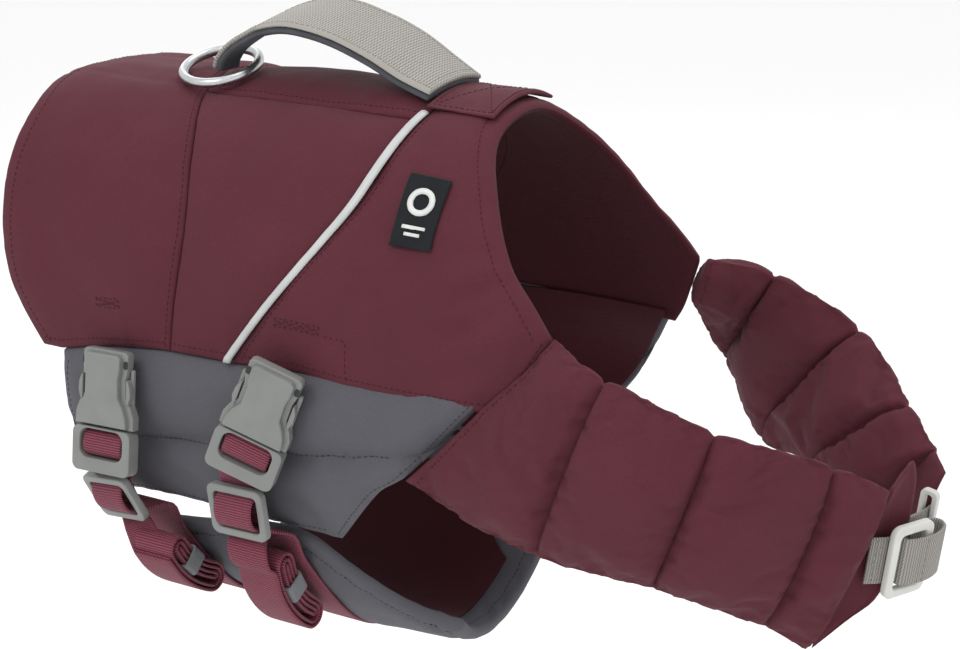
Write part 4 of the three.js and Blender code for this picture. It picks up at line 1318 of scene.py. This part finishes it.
def socket_piece(strap):
    """Socket: bare bevelled face, flared shoulders, and dark plates of painted shade standing for the latch openings
    beside the prongs.
    """
    body = prism([(-x, y) for x, y in reversed(mirrored(SOCKET_SIDE))][::-1], 2.4, 8.2)
    bevelled(body, 1.0)
    face = [(x - 2.8 if y > -7 else x - 2.2, y - 1.6 if y > 30 else y + (1.2 if y < -7 else 0)) for x, y in SOCKET_SIDE]
    raised = prism([(-x, y) for x, y in reversed(mirrored(face))][::-1], 6.8, 11.5)
    bevelled(raised, 2.0, 4)
    parts = [(body, "grey acetal"), (raised, "grey acetal")]
    for side in (-1, 1):
        # dark plates of painted shade where the latch slots are
        slot_shade_plate = prism(rounded(2.6, 4.2, 1, (side * 13.2, 26.5)), 8.0, 8.5)
        bevelled(slot_shade_plate, 0.15, 1)
        parts.append((slot_shade_plate, "latch shadow"))
        rail = prism(rounded(2.2, 20, 1, (side * 15.4, 14)), 3.4, 5.4)
        bevelled(rail, 0.6, 2)
        parts.append((rail, "grey acetal"))
    return bmesh_piece(f"buckle_socket_shell_{strap['name']}", parts, placed(strap["buckle"]), "grey acetal")


def plug_piece(strap):
    """Plug: rounded frame with a round-cornered window for the webbing, and its two press prongs."""
    outer = rounded(37, 24, 4, (0, -20))
    window = rounded(27.6, 15.6, 5, (0, -16.9))
    body = prism(outer, 2.4, 10.5, window)
    bevelled(body, 1.3)
    parts = [(body, "grey acetal")]
    for side in (-1, 1):
        prong = prism([(side * x, y) for x, y in ((14.0, 4.5), (15.6, 6.2), (16.8, 10), (16.4, 15), (15.0, 18.4), (13.9, 19))][::side],
                      4.2, 8.8)
        bevelled(prong, 0.7, 2)
        parts.append((prong, "grey acetal"))
    return bmesh_piece(f"buckle_plug_shell_{strap['name']}", parts, placed(strap["buckle"]), "grey acetal")


def frame_piece(name, spot, width, height, bar, radius, low, high, material, bevel=0.9):
    """Slider frame with rounded bars."""
    outer = rounded(width, height, radius)
    window = rounded(width - 2 * bar, height - 2 * bar, radius / 2)
    body = prism(outer, low, high, window)
    bevelled(body, bevel)
    return bmesh_piece(name, [(body, material)], placed(spot), material)


class JACKET_OT_buckles(bpy.types.Operator):
    """Makes the side-release buckles and the strap sliders"""

    bl_idname = "jacket.buckles"
    bl_label = "Buckles and sliders"

    def execute(self, context):
        for strap in STRAPS:
            name = strap["name"]
            dress(socket_piece(strap), f"buckle_socket_{name}")
            dress(plug_piece(strap), f"buckle_plug_{name}")
            frame_made = frame_piece(f"slider_frame_{name}", strap["slider"], 37, 28, 4.2, 4.5, 0, 4.4, "grey acetal")
            dress(frame_made, f"slider_{name}")
        return {"FINISHED"}


def smooth_path(stations, pieces=4):
    """More stations on a smooth curve through the given points."""
    made = []
    last = len(stations) - 1
    for i in range(last):
        p0, p1 = stations[max(i - 1, 0)][0], stations[i][0]
        p2, p3 = stations[i + 1][0], stations[min(i + 2, last)][0]
        span = (p2 - p1).length
        count = pieces if span > 1.5 else 2
        tangent_a = (p2 - p0) / max((p2 - p1).length + (p1 - p0).length, 0.01) * span
        tangent_b = (p3 - p1) / max((p3 - p2).length + (p2 - p1).length, 0.01) * span
        for k in range(count):
            t = k / count
            t2, t3 = t * t, t * t * t
            point = (p1 * (2 * t3 - 3 * t2 + 1) + tangent_a * (t3 - 2 * t2 + t)
                     + p2 * (-2 * t3 + 3 * t2) + tangent_b * (t3 - t2))
            made.append((point, stations[i][1].lerp(stations[i + 1][1], t)))
    made.append(stations[last])
    return made


def ribbon(name, stations, width, thick, material, pieces=4, sway=0.0):
    """Webbing through stations, each a middle point and the direction across; rounded selvedges."""
    columns = 10
    outer, inner, cut = [], [], []
    path = smooth_path(stations, pieces)
    run = 0
    last = len(path) - 1
    for i, (point, across) in enumerate(path):
        if i:
            run += (point - path[i - 1][0]).length
        tangent = (path[min(i + 1, last)][0] - path[max(i - 1, 0)][0]).normalized()
        side = across.normalized()
        normal = tangent.cross(side).normalized()
        outer_row, inner_row, cut_row = [], [], []
        for j in range(columns + 1):
            t = math.sin(math.pi / 2 * (2 * j / columns - 1))
            gap = (1 - abs(t)) * width / 2
            half = thick / 2 * lerp(0.25, 1, round_in(gap, 0.9))
            bend = sway * wander(run, t * 12, 26, 80)
            place = point + side * (t * width / 2) + normal * bend
            outer_row.append(place + normal * half)
            inner_row.append(place - normal * half)
            cut_row.append((t * width / 2, run))
        outer.append(outer_row)
        inner.append(inner_row)
        cut.append(cut_row)
    return shell(name, outer, inner, material, cut)


def strap_stations(strap):
    """The strap's one path: far hem, belly, slider, buckle bar, back over the slider, and the roll."""
    along_x = Vector((1, 0, 0))
    buckle, slider = placed(strap["buckle"]), placed(strap["slider"])
    buckle_across, slider_across = Vector(strap["buckle"][1]), Vector(strap["slider"][1])
    tab = [(buckle @ Vector((0, y, z)), buckle_across) for y, z in ((12, -0.4), (22, 0.8), (31, 1.2))]
    path = []
    near_side = GREY_BOTTOM - 4
    far_hem = 2 * belly_middle(strap["belly_x"]) - HEM - 8
    count = 22
    for k in range(count + 1):
        s = lerp(far_hem, near_side, k / count)
        x = lerp(strap["belly_x"], strap["lift_x"], 1 - smooth(s, near_side, 320))
        height = 10 + 1.6 + 2 * (1 - smooth(s, near_side, 300))
        path.append((on_body(x, s, height), along_x))
    for y, z in ((-10, -3.4), (10, -3.4)):
        path.append((slider @ Vector((0, y, z)), slider_across))
    window = -17
    for y, z in ((-34, -1.3), (-24, -1.3), (window + 3, 0.6), (window + 5.8, 3.6), (window + 4.8, 7.4), (window + 1, 9),
                 (window - 3.2, 8.8), (window - 6, 6.4), (window - 6.8, 3), (-25.4, 1.2), (-33, 1)):
        path.append((buckle @ Vector((0, y, z)), buckle_across))
    for y, z in ((13, -1.4), (9.4, -0.8), (8.4, 2), (6.4, 5), (2, 6.8), (-3, 6.9), (-7, 5), (-8.6, 2), (-9.6, -0.8),
                 (-15, -1.8)):
        path.append((slider @ Vector((0, y, z)), slider_across))
    path += [(Vector(p), along_x) for p in strap["hang"]]
    heights, in_roll = roll_frame(strap)
    half = strap["half"]
    for k, height in enumerate(heights):
        way = 1 if k % 2 == 0 else -1
        for part in (-1, -0.5, 0, 0.5, 1):
            path.append((in_roll(way * half * part, height), along_x))
        if k == len(heights) - 1:
            break
        turn = (height - heights[k + 1]) / 2
        for part in (0.2, 0.4, 0.6, 0.8):
            angle = math.pi * part
            path.append((in_roll(way * (half + abs(turn) * math.sin(angle)), height - turn * (1 - math.cos(angle))),
                         along_x))
    return tab, path


def roll_frame(strap):
    """Heights of the curved roll's layers, and the place in the roll for a run and a height."""
    slope = math.radians(strap["slope"])
    bend = math.radians(strap["curve"]) / strap["half"]
    x, middle_y, middle_z = strap["roll"]
    layers, pitch = 6, 2.7
    radius = (layers - 1) / 2 * pitch
    heights = []
    for k in range(layers):
        reach = radius - k // 2 * pitch
        heights.append(reach if k % 2 == 0 else -reach)
    heights[0] += 1.5
    heights[2] += 1.5

    def in_roll(run, height):
        angle = slope - bend * run
        y = middle_y + (math.sin(slope) - math.sin(angle)) / bend
        z = middle_z - (math.cos(angle) - math.cos(slope)) / bend
        return Vector((x, y - math.sin(angle) * height, z - math.cos(angle) * height))

    return heights, in_roll


def keeper_piece(strap):
    """Elastic band round the roll's inner layers."""
    heights, in_roll = roll_frame(strap)
    top, bottom = heights[4] + WEBBING_THICK / 2 + 0.5, heights[1] - WEBBING_THICK / 2 - 0.5
    run_middle = -4.5
    out = in_roll(run_middle, 1) - in_roll(run_middle, 0)
    wide, high = WEBBING_WIDTH + 2 * SEAM + 1.2, top - bottom + 1.2
    outline = rounded(wide, high, 2, count=5)
    turn = placed((in_roll(run_middle, (top + bottom) / 2), (1, 0, 0), -out))
    girth = sum(math.dist(outline[k - 1], outline[k]) for k in range(len(outline)))
    points, faces, cuts = [], [], []
    rows = 12
    for depth in (-0.6, 0.6):
        for i in range(rows + 1):
            z = lerp(-5.5, 5.5, i / rows)
            run = 0
            for k, (x, y) in enumerate(outline):
                px, py = outline[k - 1]
                run += math.hypot(x - px, y - py) if k else 0
                grow = 1 + 2 * depth / wide
                lift = 1 + 2 * depth / high
                points.append(turn @ Vector((x * grow, y * lift, z)))
                cuts.append((run, z))
    count = len(outline)
    half = (rows + 1) * count
    for i in range(rows):
        for k in range(count):
            a, b = i * count + k, i * count + (k + 1) % count
            faces.append((a, b, b + count, a + count))
            faces.append((half + a, half + a + count, half + b + count, half + b))
    for k in range(count):
        n = (k + 1) % count
        faces.append((k, half + k, half + n, n))
        top_row = rows * count
        faces.append((top_row + k, top_row + n, half + top_row + n, half + top_row + k))
    made = make_object(f"keeper_band_{strap['name']}", points, faces, "grey elastic", cuts)
    tidy_normals(made)
    return made, girth


class JACKET_OT_straps(bpy.types.Operator):
    """Makes the girth straps with their rolled ends, tabs and elastic keepers"""

    bl_idname = "jacket.straps"
    bl_label = "Girth straps"

    def execute(self, context):
        for strap in STRAPS:
            name = strap["name"]
            tab_path, strap_path = strap_stations(strap)
            tab = ribbon(f"tab_webbing_{name}", tab_path, WEBBING_WIDTH - 1, WEBBING_THICK, "burgundy webbing")
            dress(tab, f"tab_{name}")
            sheet_of(tab)
            made = ribbon(f"strap_webbing_{name}", strap_path, WEBBING_WIDTH, WEBBING_THICK + 0.2, "burgundy webbing")
            dress(made, f"strap_{name}")
            sheet_of(made)
            keeper, girth = keeper_piece(strap)
            dress(keeper, f"keeper_{name}")
            sheet_of(keeper, wide=girth)
        return {"FINISHED"}


NEAR_WEBBING = [(-19, -1.8), (-12, 1.1), (-6, 1.8), (0, 1.8)]
LOOP_WEBBING = [(-5, 4.2), (-4, 7), (1, 8.6), (10, 8.9), (17, 7.4), (22, 4.6), (23.8, 0.6), (21, -2.8), (15, -3.8),
                (9, -4)]
FAR_WEBBING = [(43, -35), (41.6, -28), (40, -22), (33, -13.5), (21, -10), (10, -8.5), (0, -7.5)]


class JACKET_OT_chest(bpy.types.Operator):
    """Makes the chest webbing and its two sliders"""

    bl_idname = "jacket.chest"
    bl_label = "Chest fastening"

    def execute(self, context):
        matrix = placed(CHEST)
        across = matrix.to_3x3() @ Vector((0, 1, 0))
        for name, points in (("near", NEAR_WEBBING), ("loop", LOOP_WEBBING), ("far", FAR_WEBBING)):
            stations = [(matrix @ Vector((x, 0, z)), across) for x, z in points]
            made = ribbon(f"chest_webbing_cloth_{name}", stations, WEBBING_WIDTH, WEBBING_THICK, "pale webbing", 5)
            dress(made, f"chest_webbing_{name}")
            sheet_of(made)
        slider = frame_piece("chest_slider_frame", CHEST, 25, 38, 4.5, 4.5, 3, 7.2, "pale acetal", 1.2)
        dress(slider, "chest_slider")
        before, after = FAR_WEBBING[3], FAR_WEBBING[4]
        turn = math.atan2(after[0] - before[0], after[1] - before[1])
        shift = Matrix.Translation(Vector(((before[0] + after[0]) / 2, 2.5, (before[1] + after[1]) / 2)))
        body = prism(rounded(9, 38, 3), -1.8, 1.8, rounded(3.8, 32.8, 1.5))
        bevelled(body, 0.8)
        local = matrix @ shift @ Matrix.Rotation(turn, 4, "Y")
        small = bmesh_piece("chest_slider_frame_far", [(body, "pale acetal")], local, "pale acetal")
        dress(small, "chest_slider_far")
        return {"FINISHED"}


# Stitching, laid along paths on the finished cloth


def surface_of(name):
    """Search tree of a finished piece, in millimetres."""
    mesh = bpy.data.objects[name].data
    points = [v.co / MM for v in mesh.vertices]
    return BVHTree.FromPolygons(points, [tuple(p.vertices) for p in mesh.polygons])


def sewn(tree, outside, inside, raise_by=0.1):
    """Places where a line of rays from outside to inside meets the cloth."""
    line = []
    for a, b in zip(outside, inside):
        hit, normal, _, _ = tree.ray_cast(a, (b - a).normalized(), (b - a).length)
        if hit is not None:
            line.append(hit + (a - b).normalized() * raise_by)
    return line


def sewn_on_body(piece, places, drop=no_shift, shift=no_shift, inside=False):
    """Stitch line through places (x, s) on a body piece, on its outer or its inner face."""
    tree = surface_of(piece)
    high = [on_body(x, s + drop(x, s), 26 + shift(x, s)) for x, s in places]
    low = [on_body(x, s + drop(x, s), -12 + shift(x, s)) for x, s in places]
    if inside:
        high, low = low, high
    return sewn(tree, high, low)


def stitch_tree():
    """Geometry nodes: rounded stitches spaced along a line, turned to follow it."""
    tree = bpy.data.node_groups.new("Sewn stitches", "GeometryNodeTree")
    sockets = tree.interface
    sockets.new_socket("Line", in_out="INPUT", socket_type="NodeSocketGeometry")
    for name in ("Pitch", "Length", "Thickness"):
        sockets.new_socket(name, in_out="INPUT", socket_type="NodeSocketFloat")
    sockets.new_socket("Thread", in_out="INPUT", socket_type="NodeSocketMaterial")
    sockets.new_socket("Stitches", in_out="OUTPUT", socket_type="NodeSocketGeometry")
    given = node(tree, "NodeGroupInput").outputs
    curve = node(tree, "GeometryNodeMeshToCurve", links={"Mesh": given["Line"]})
    spaced = node(tree, "GeometryNodeResampleCurve", {"mode": "LENGTH"},
                  {"Curve": curve.outputs["Curve"], "Length": given["Pitch"]})
    ball = node(tree, "GeometryNodeMeshUVSphere", {"Segments": 6, "Rings": 4, "Radius": 0.5})
    size = node(tree, "ShaderNodeCombineXYZ", links={"X": given["Length"], "Y": given["Thickness"],
                                                     "Z": given["Thickness"]})
    direction = node(tree, "GeometryNodeInputTangent")
    turned = node(tree, "FunctionNodeAlignRotationToVector", {"axis": "X"},
                  {"Vector": direction.outputs["Tangent"]})
    put = node(tree, "GeometryNodeInstanceOnPoints", links={
        "Points": spaced.outputs["Curve"],
        "Instance": ball.outputs["Mesh"],
        "Rotation": turned.outputs["Rotation"],
        "Scale": size.outputs["Vector"],
    })
    real = node(tree, "GeometryNodeRealizeInstances", links={"Geometry": put.outputs["Instances"]})
    rounded_off = node(tree, "GeometryNodeSetShadeSmooth", links={"Geometry": real.outputs["Geometry"]})
    painted = node(tree, "GeometryNodeSetMaterial", links={"Geometry": rounded_off.outputs["Geometry"],
                                                           "Material": given["Thread"]})
    node(tree, "NodeGroupOutput", links={"Stitches": painted.outputs["Geometry"]})
    return tree


def sew(name, lines, thread, pitch=None):
    """Turns stitch lines into one mesh of stitches that rides on the jacket."""
    sizes = bpy.context.scene.jacket_sizes
    points, edges = [], []
    for line in lines:
        start = len(points)
        points += line
        edges += [(start + k, start + k + 1) for k in range(len(line) - 1)]
    mesh = bpy.data.meshes.new(name + "_line")
    mesh.from_pydata([p * MM for p in points], edges, [])
    carrier = bpy.data.objects.new(name + "_line", mesh)
    bpy.context.scene.collection.objects.link(carrier)
    tree = bpy.data.node_groups.get("Sewn stitches") or stitch_tree()
    modifier = carrier.modifiers.new("Stitches", "NODES")
    modifier.node_group = tree
    values = {"Pitch": pitch or sizes.stitch_pitch, "Length": sizes.stitch_length,
              "Thickness": sizes.stitch_thickness, "Thread": finish_of(thread)}
    for item in tree.interface.items_tree:
        if item.in_out == "INPUT" and item.name in values:
            modifier[item.identifier] = values[item.name]
    depsgraph = bpy.context.evaluated_depsgraph_get()
    stitched = bpy.data.meshes.new_from_object(carrier.evaluated_get(depsgraph))
    made = bpy.data.objects.new(name, stitched)
    bpy.context.scene.collection.objects.link(made)
    bpy.data.objects.remove(carrier)
    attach(made, "jacket")
    return made


def spread(a, b, count):
    return [lerp(a, b, k / count) for k in range(count + 1)]


def arm_stitches(piece, table, side, end, gap, run):
    """Stitches across an arm on both faces, along one quilted line."""
    tree = surface_of(piece)
    lines = []
    middle = []
    for across in spread(0.04, 0.96, 60):
        pull = (1 - smooth(run, 0, 55)) ** 2
        seam = root_point(side, end, gap, across) - band_point(table, 0, across)
        middle.append((band_point(table, run, across) + seam * pull, across))
    for way in (1, -1):
        outside, inside = [], []
        for point, across in middle:
            down = band_point(table, min(run + 2, ARM_END), across) - band_point(table, max(run - 2, 0), across)
            right = band_point(table, run, min(across + 0.02, 1)) - band_point(table, run, max(across - 0.02, 0))
            normal = down.cross(right).normalized() * way
            outside.append(point + normal * 25)
            inside.append(point - normal * 0.5)
        lines.append(sewn(tree, outside, inside))
    return lines


class JACKET_OT_stitches(bpy.types.Operator):
    """Sews the seams, quilted lines, edges and bar tacks"""

    bl_idname = "jacket.stitches"
    bl_label = "Stitching"

    def execute(self, context):
        rows = spread(-HEM + 4, HEM - 4, 200)
        burgundy = [
            sewn_on_body("front_back_cloth", [(front_edge(s) - 8, s) for s in spread(-SHOULDER, SHOULDER, 160)], hem_drop),
            sewn_on_body("front_back_cloth", [(front_edge(s) - 8, s) for s in spread(-SHOULDER, SHOULDER, 160)],
                         hem_drop, inside=True),
            sewn_on_body("rear_back_cloth", [(rear_edge(s) + 9, s) for s in rows], hem_drop),
            sewn_on_body("rear_back_cloth", [(rear_edge(s) + 9, s) for s in rows], hem_drop, inside=True),
            sewn_on_body("rear_back_cloth", [(rear_seam(s) - 3, s) for s in rows], hem_drop),
        ]
        for sign in (1, -1):
            near = [sign * s for s in spread(34, HEM - 4, 90)]
            burgundy.append(sewn_on_body("front_back_cloth", [(piping_seam(s) + 5, s) for s in near], hem_drop))
            burgundy.append(sewn_on_body("front_back_cloth",
                                         [(front_edge(s) - 3, s) for s in (sign * v for v in spread(SHOULDER + 2, 172, 30))],
                                         hem_drop))
            burgundy.append(sewn_on_body("spine_cloth", [(x, sign * 29) for x in spread(-60, 64, 60)]))
            hem_row = HEM - 5
            for piece, start, stop in (("rear_back_cloth", -132, -50), ("front_back_cloth", 2, 138)):
                burgundy.append(sewn_on_body(piece, [(x, sign * hem_row) for x in spread(start, stop, 60)], hem_drop))
            burgundy.append(sewn_on_body("middle_cloth_near" if sign > 0 else "middle_cloth_far",
                                         [(x, sign * hem_row) for x in spread(-42, -12, 30)], hem_drop))
        burgundy += tack_lines()
        patch = [(70.5, -25), (103.5, -25), (103.5, 25), (70.5, 25), (70.5, -25), (103.5, 25), (103.5, -25), (70.5, 25)]
        dense = []
        for (x1, s1), (x2, s2) in zip(patch, patch[1:]):
            dense += [(lerp(x1, x2, k / 16), lerp(s1, s2, k / 16)) for k in range(16)]
        burgundy.append(sewn_on_body("handle_patch_cloth", dense))
        for side, table, sign, end, gap in (("near", NEAR_ARM, 1, ROOT_END, SEAM), ("far", FAR_ARM, -1, FAR_ROOT_END, 4.1)):
            for run in (4.5, *ARM_QUILTS):
                burgundy += arm_stitches(f"arm_cloth_{side}", table, sign, end, gap, run)
        sew("burgundy_stitches", [line for line in burgundy if len(line) > 1], "burgundy thread")

        grey = []
        for side, sign in (("near", 1), ("far", -1)):
            piece = f"lower_cloth_{side}"
            grey.append(sewn_on_body(piece, [(x, sign * along(QUILT_LINE, x)) for x in spread(-118, 84, 110)],
                                     lower_drop, flare))
            grey.append(sewn_on_body(piece, [(x, sign * (GREY_BOTTOM - 6)) for x in spread(-116, 40, 90)],
                                     lower_drop, flare))
            grey.append(sewn_on_body(piece, [(lower_rear(s) + 6, s) for s in (sign * v for v in spread(182, 260, 40))],
                                     lower_drop, flare))
            grey.append(sewn_on_body(piece, [(arm_root(s) - 4, s) for s in (sign * v for v in spread(180, 262, 40))],
                                     lower_drop, flare))
        wide, long = 205, 170
        ring = [(8 / wide, v) for v in spread(8 / long, 1 - 8 / long, 60)]
        ring += [(u, 1 - 8 / long) for u in spread(8 / wide, 1 - 8 / wide, 70)]
        ring += [(1 - 8 / wide, v) for v in spread(1 - 8 / long, 8 / long, 60)]
        ring += [(u, 8 / long) for u in spread(1 - 8 / wide, 8 / wide, 70)]
        places = [belly_grid(0, [u], [v])[0][0] for u, v in ring]
        grey.append(sewn_on_body("belly_cloth", places))
        grey.append(sewn_on_body("belly_cloth", places, inside=True))
        sew("grey_stitches", [line for line in grey if len(line) > 1], "grey thread")

        pale = handle_stitches() + chest_stitches()
        sew("pale_stitches", [line for line in pale if len(line) > 1], "pale thread")
        return {"FINISHED"}


def tack_lines():
    """Two bar tacks on the side, each a narrow box of close zigzag, and a faint corner of stitching beside the front
    one.
    """
    lines = []
    for piece, x, s, length in (("rear_back_cloth", -92, 152, 16), ("front_back_cloth", 22, 150, 26)):
        zigzag = []
        count = int(length * 1.1)
        for k in range(count + 1):
            zigzag.append((x + length * k / count, s + (1.3 if k % 2 else -1.3)))
        lines.append(sewn_on_body(piece, zigzag, hem_drop))
        box = [(x, s - 2), (x + length, s - 2), (x + length, s + 2), (x, s + 2), (x, s - 2)]
        dense = []
        for (x1, s1), (x2, s2) in zip(box, box[1:]):
            dense += [(lerp(x1, x2, k / 8), lerp(s1, s2, k / 8)) for k in range(8)]
        lines.append(sewn_on_body(piece, dense, hem_drop))
    corner = [(lerp(52, 64, k / 10), 152) for k in range(11)] + [(64, lerp(152, 170, k / 10)) for k in range(11)]
    lines.append(sewn_on_body("front_back_cloth", corner, hem_drop))
    return lines


def handle_stitches():
    """Two rows along the handle's edges and one row across its front foot."""
    tree = surface_of("handle_webbing_cloth")
    lines = []
    for side in (-1, 1):
        outside, inside = [], []
        for at in spread(0.15, HANDLE_LAST - 0.6, 180):
            half = along(HANDLE_PATH, at, 4)
            t = side * (half - 3.2) / half
            outside.append(handle_point(at, t, 8))
            inside.append(handle_point(at, t, -1))
        lines.append(sewn(tree, outside, inside))
    outside = [handle_point(0.25, t, 8) for t in spread(-0.86, 0.86, 40)]
    inside = [handle_point(0.25, t, -1) for t in spread(-0.86, 0.86, 40)]
    lines.append(sewn(tree, outside, inside))
    return lines


def chest_stitches():
    """Rows across the chest webbing where it is sewn to the arm ends and to itself."""
    matrix = placed(CHEST)
    lines = []
    for name, rows in (("near", (-16.5, -14.0)), ("far", (34.5, 37.0, 31.0)), ("loop", (4.0, 7.0))):
        tree = surface_of(f"chest_webbing_cloth_{name}")
        for x in rows:
            outside = [matrix @ Vector((x, y, 30)) for y in spread(-10.5, 10.5, 24)]
            inside = [matrix @ Vector((x, y, -45)) for y in spread(-10.5, 10.5, 24)]
            lines.append(sewn(tree, outside, inside))
    return lines


# Stage


def look_at(thing, target):
    direction = Vector(target) - thing.location
    thing.rotation_euler = direction.to_track_quat("-Z", "Y").to_euler()


def soft_lamp(name, place, target, size, power):
    light = bpy.data.lights.new(name, "AREA")
    light.shape = "DISK"
    light.size = size
    light.energy = power
    lamp = bpy.data.objects.new(name, light)
    lamp.location = place
    bpy.context.scene.collection.objects.link(lamp)
    look_at(lamp, target)
    return lamp


class JACKET_OT_stage(bpy.types.Operator):
    """Sets the camera, the soft lights and the pale floor"""

    bl_idname = "jacket.stage"
    bl_label = "Studio"

    def execute(self, context):
        target = Vector((0.0785, 0.0035, -0.1153))
        turn, lift = math.radians(31), math.radians(18)
        back = Vector((math.sin(turn) * math.cos(lift), -math.cos(turn) * math.cos(lift), math.sin(lift)))
        camera_data = bpy.data.cameras.new("camera")
        camera_data.sensor_width = 36
        camera_data.lens = 2115 / 960 * 36
        camera_data.clip_start = 0.05
        camera = bpy.data.objects.new("camera", camera_data)
        camera.location = target + back * 1.1
        camera.rotation_euler = (-back).to_track_quat("-Z", "Y").to_euler()
        context.scene.collection.objects.link(camera)
        context.scene.camera = camera

        floor_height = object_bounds()[0][2] - 0.28
        floor = make_object("floor", [Vector((x, y, floor_height / MM)) for x, y in
                                      ((-9000, -9000), (9000, -9000), (9000, 9000), (-9000, 9000))],
                            [(0, 1, 2, 3)], "studio floor")
        floor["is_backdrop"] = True
        middle = (0.08, 0, -0.13)
        soft_lamp("key", (-0.3, -1.5, 1.5), middle, 0.9, 11)
        soft_lamp("fill", (1.9, -0.9, 0.5), middle, 1.2, 1.5)
        soft_lamp("top", (0.1, 0.5, 1.8), middle, 1.2, 8)
        soft_lamp("back", (-1.4, 1.3, 0.7), middle, 1.0, 4)
        world = bpy.data.worlds.new("studio")
        world.use_nodes = True
        world.node_tree.nodes["Background"].inputs["Color"].default_value = (1, 1, 1, 1)
        world.node_tree.nodes["Background"].inputs["Strength"].default_value = 0.97
        context.scene.world = world
        context.scene.view_settings.view_transform = "Standard"
        return {"FINISHED"}


def colour_property(name, description, hex_colour):
    return FloatVectorProperty(name=name, description=description, subtype="COLOR", size=3, min=0, max=1,
                               default=linear(hex_colour))


class JacketColours(bpy.types.PropertyGroup):
    """Colours that a user would change"""

    burgundy: colour_property("Burgundy cloth", "Main outer cloth", "562530")
    # lining colour: the burgundy darkened as painted shade of the jacket's inside
    lining: colour_property("Lining", "Cloth inside the jacket", "3A0D17")
    grey_cloth: colour_property("Grey cloth", "Lower sides and belly", "57565C")
    pale_webbing: colour_property("Pale webbing", "Handle and chest webbing", "A29E98")
    # painted shade: the strap colour in its rib valleys
    strap_valley_shade: colour_property("Strap base", "Valleys of the girth straps' weave", "4A1524")
    # painted highlight: the strap colour on its rib crowns
    strap_crown_highlight: colour_property("Strap ribs", "Crowns of the girth straps' weave", "8A4657")
    reflective: colour_property("Reflective tape", "Piping over the slanted seams", "BBBEBD")
    buckle: colour_property("Buckles", "Side-release buckles and strap sliders", "7B7D7B")
    chest_slider: colour_property("Chest sliders", "Frames of the chest fastening", "CFCFCA")


class JacketSizes(bpy.types.PropertyGroup):
    """Sizes of the sewing that a user would change"""

    stitch_pitch: FloatProperty(name="Stitch pitch", description="From one stitch to the next", unit="LENGTH",
                                subtype="DISTANCE", precision=4, default=0.0032, min=0.001)
    stitch_length: FloatProperty(name="Stitch length", description="Length of thread that shows", unit="LENGTH",
                                 subtype="DISTANCE", precision=4, default=0.0023, min=0.0005)
    stitch_thickness: FloatProperty(name="Thread", description="Thickness of the sewing thread", unit="LENGTH",
                                    subtype="DISTANCE", precision=4, default=0.0005, min=0.0001)


OPERATORS = [
    JACKET_OT_back,
    JACKET_OT_lower,
    JACKET_OT_arms,
    JACKET_OT_trim,
    JACKET_OT_handle,
    JACKET_OT_buckles,
    JACKET_OT_straps,
    JACKET_OT_chest,
    JACKET_OT_stitches,
    JACKET_OT_stage,
]


class JACKET_PT_tools(bpy.types.Panel):
    """Sizes, colours and steps of the life jacket"""

    bl_idname = "JACKET_PT_tools"
    bl_label = "Life jacket"
    bl_space_type = "VIEW_3D"
    bl_region_type = "UI"
    bl_category = "Life jacket"

    def draw(self, context):
        layout = self.layout
        for group in (context.scene.jacket_sizes, context.scene.jacket_colours):
            for name in group.__annotations__:
                layout.prop(group, name)
        for operator in OPERATORS:
            layout.operator(operator.bl_idname)


CLASSES = [JacketColours, JacketSizes, *OPERATORS, JACKET_PT_tools]


def register():
    for cls in CLASSES:
        bpy.utils.register_class(cls)
    bpy.types.Scene.jacket_colours = PointerProperty(type=JacketColours)
    bpy.types.Scene.jacket_sizes = PointerProperty(type=JacketSizes)


def unregister():
    del bpy.types.Scene.jacket_sizes
    del bpy.types.Scene.jacket_colours
    for cls in reversed(CLASSES):
        bpy.utils.unregister_class(cls)


def main():
    register()
    bpy.ops.jacket.back()
    bpy.ops.jacket.lower()
    bpy.ops.jacket.arms()
    bpy.ops.jacket.trim()
    bpy.ops.jacket.handle()
    bpy.ops.jacket.buckles()
    bpy.ops.jacket.straps()
    bpy.ops.jacket.chest()
    bpy.ops.jacket.stitches()
    bpy.ops.jacket.stage()


if __name__ == "__main__":
    main()
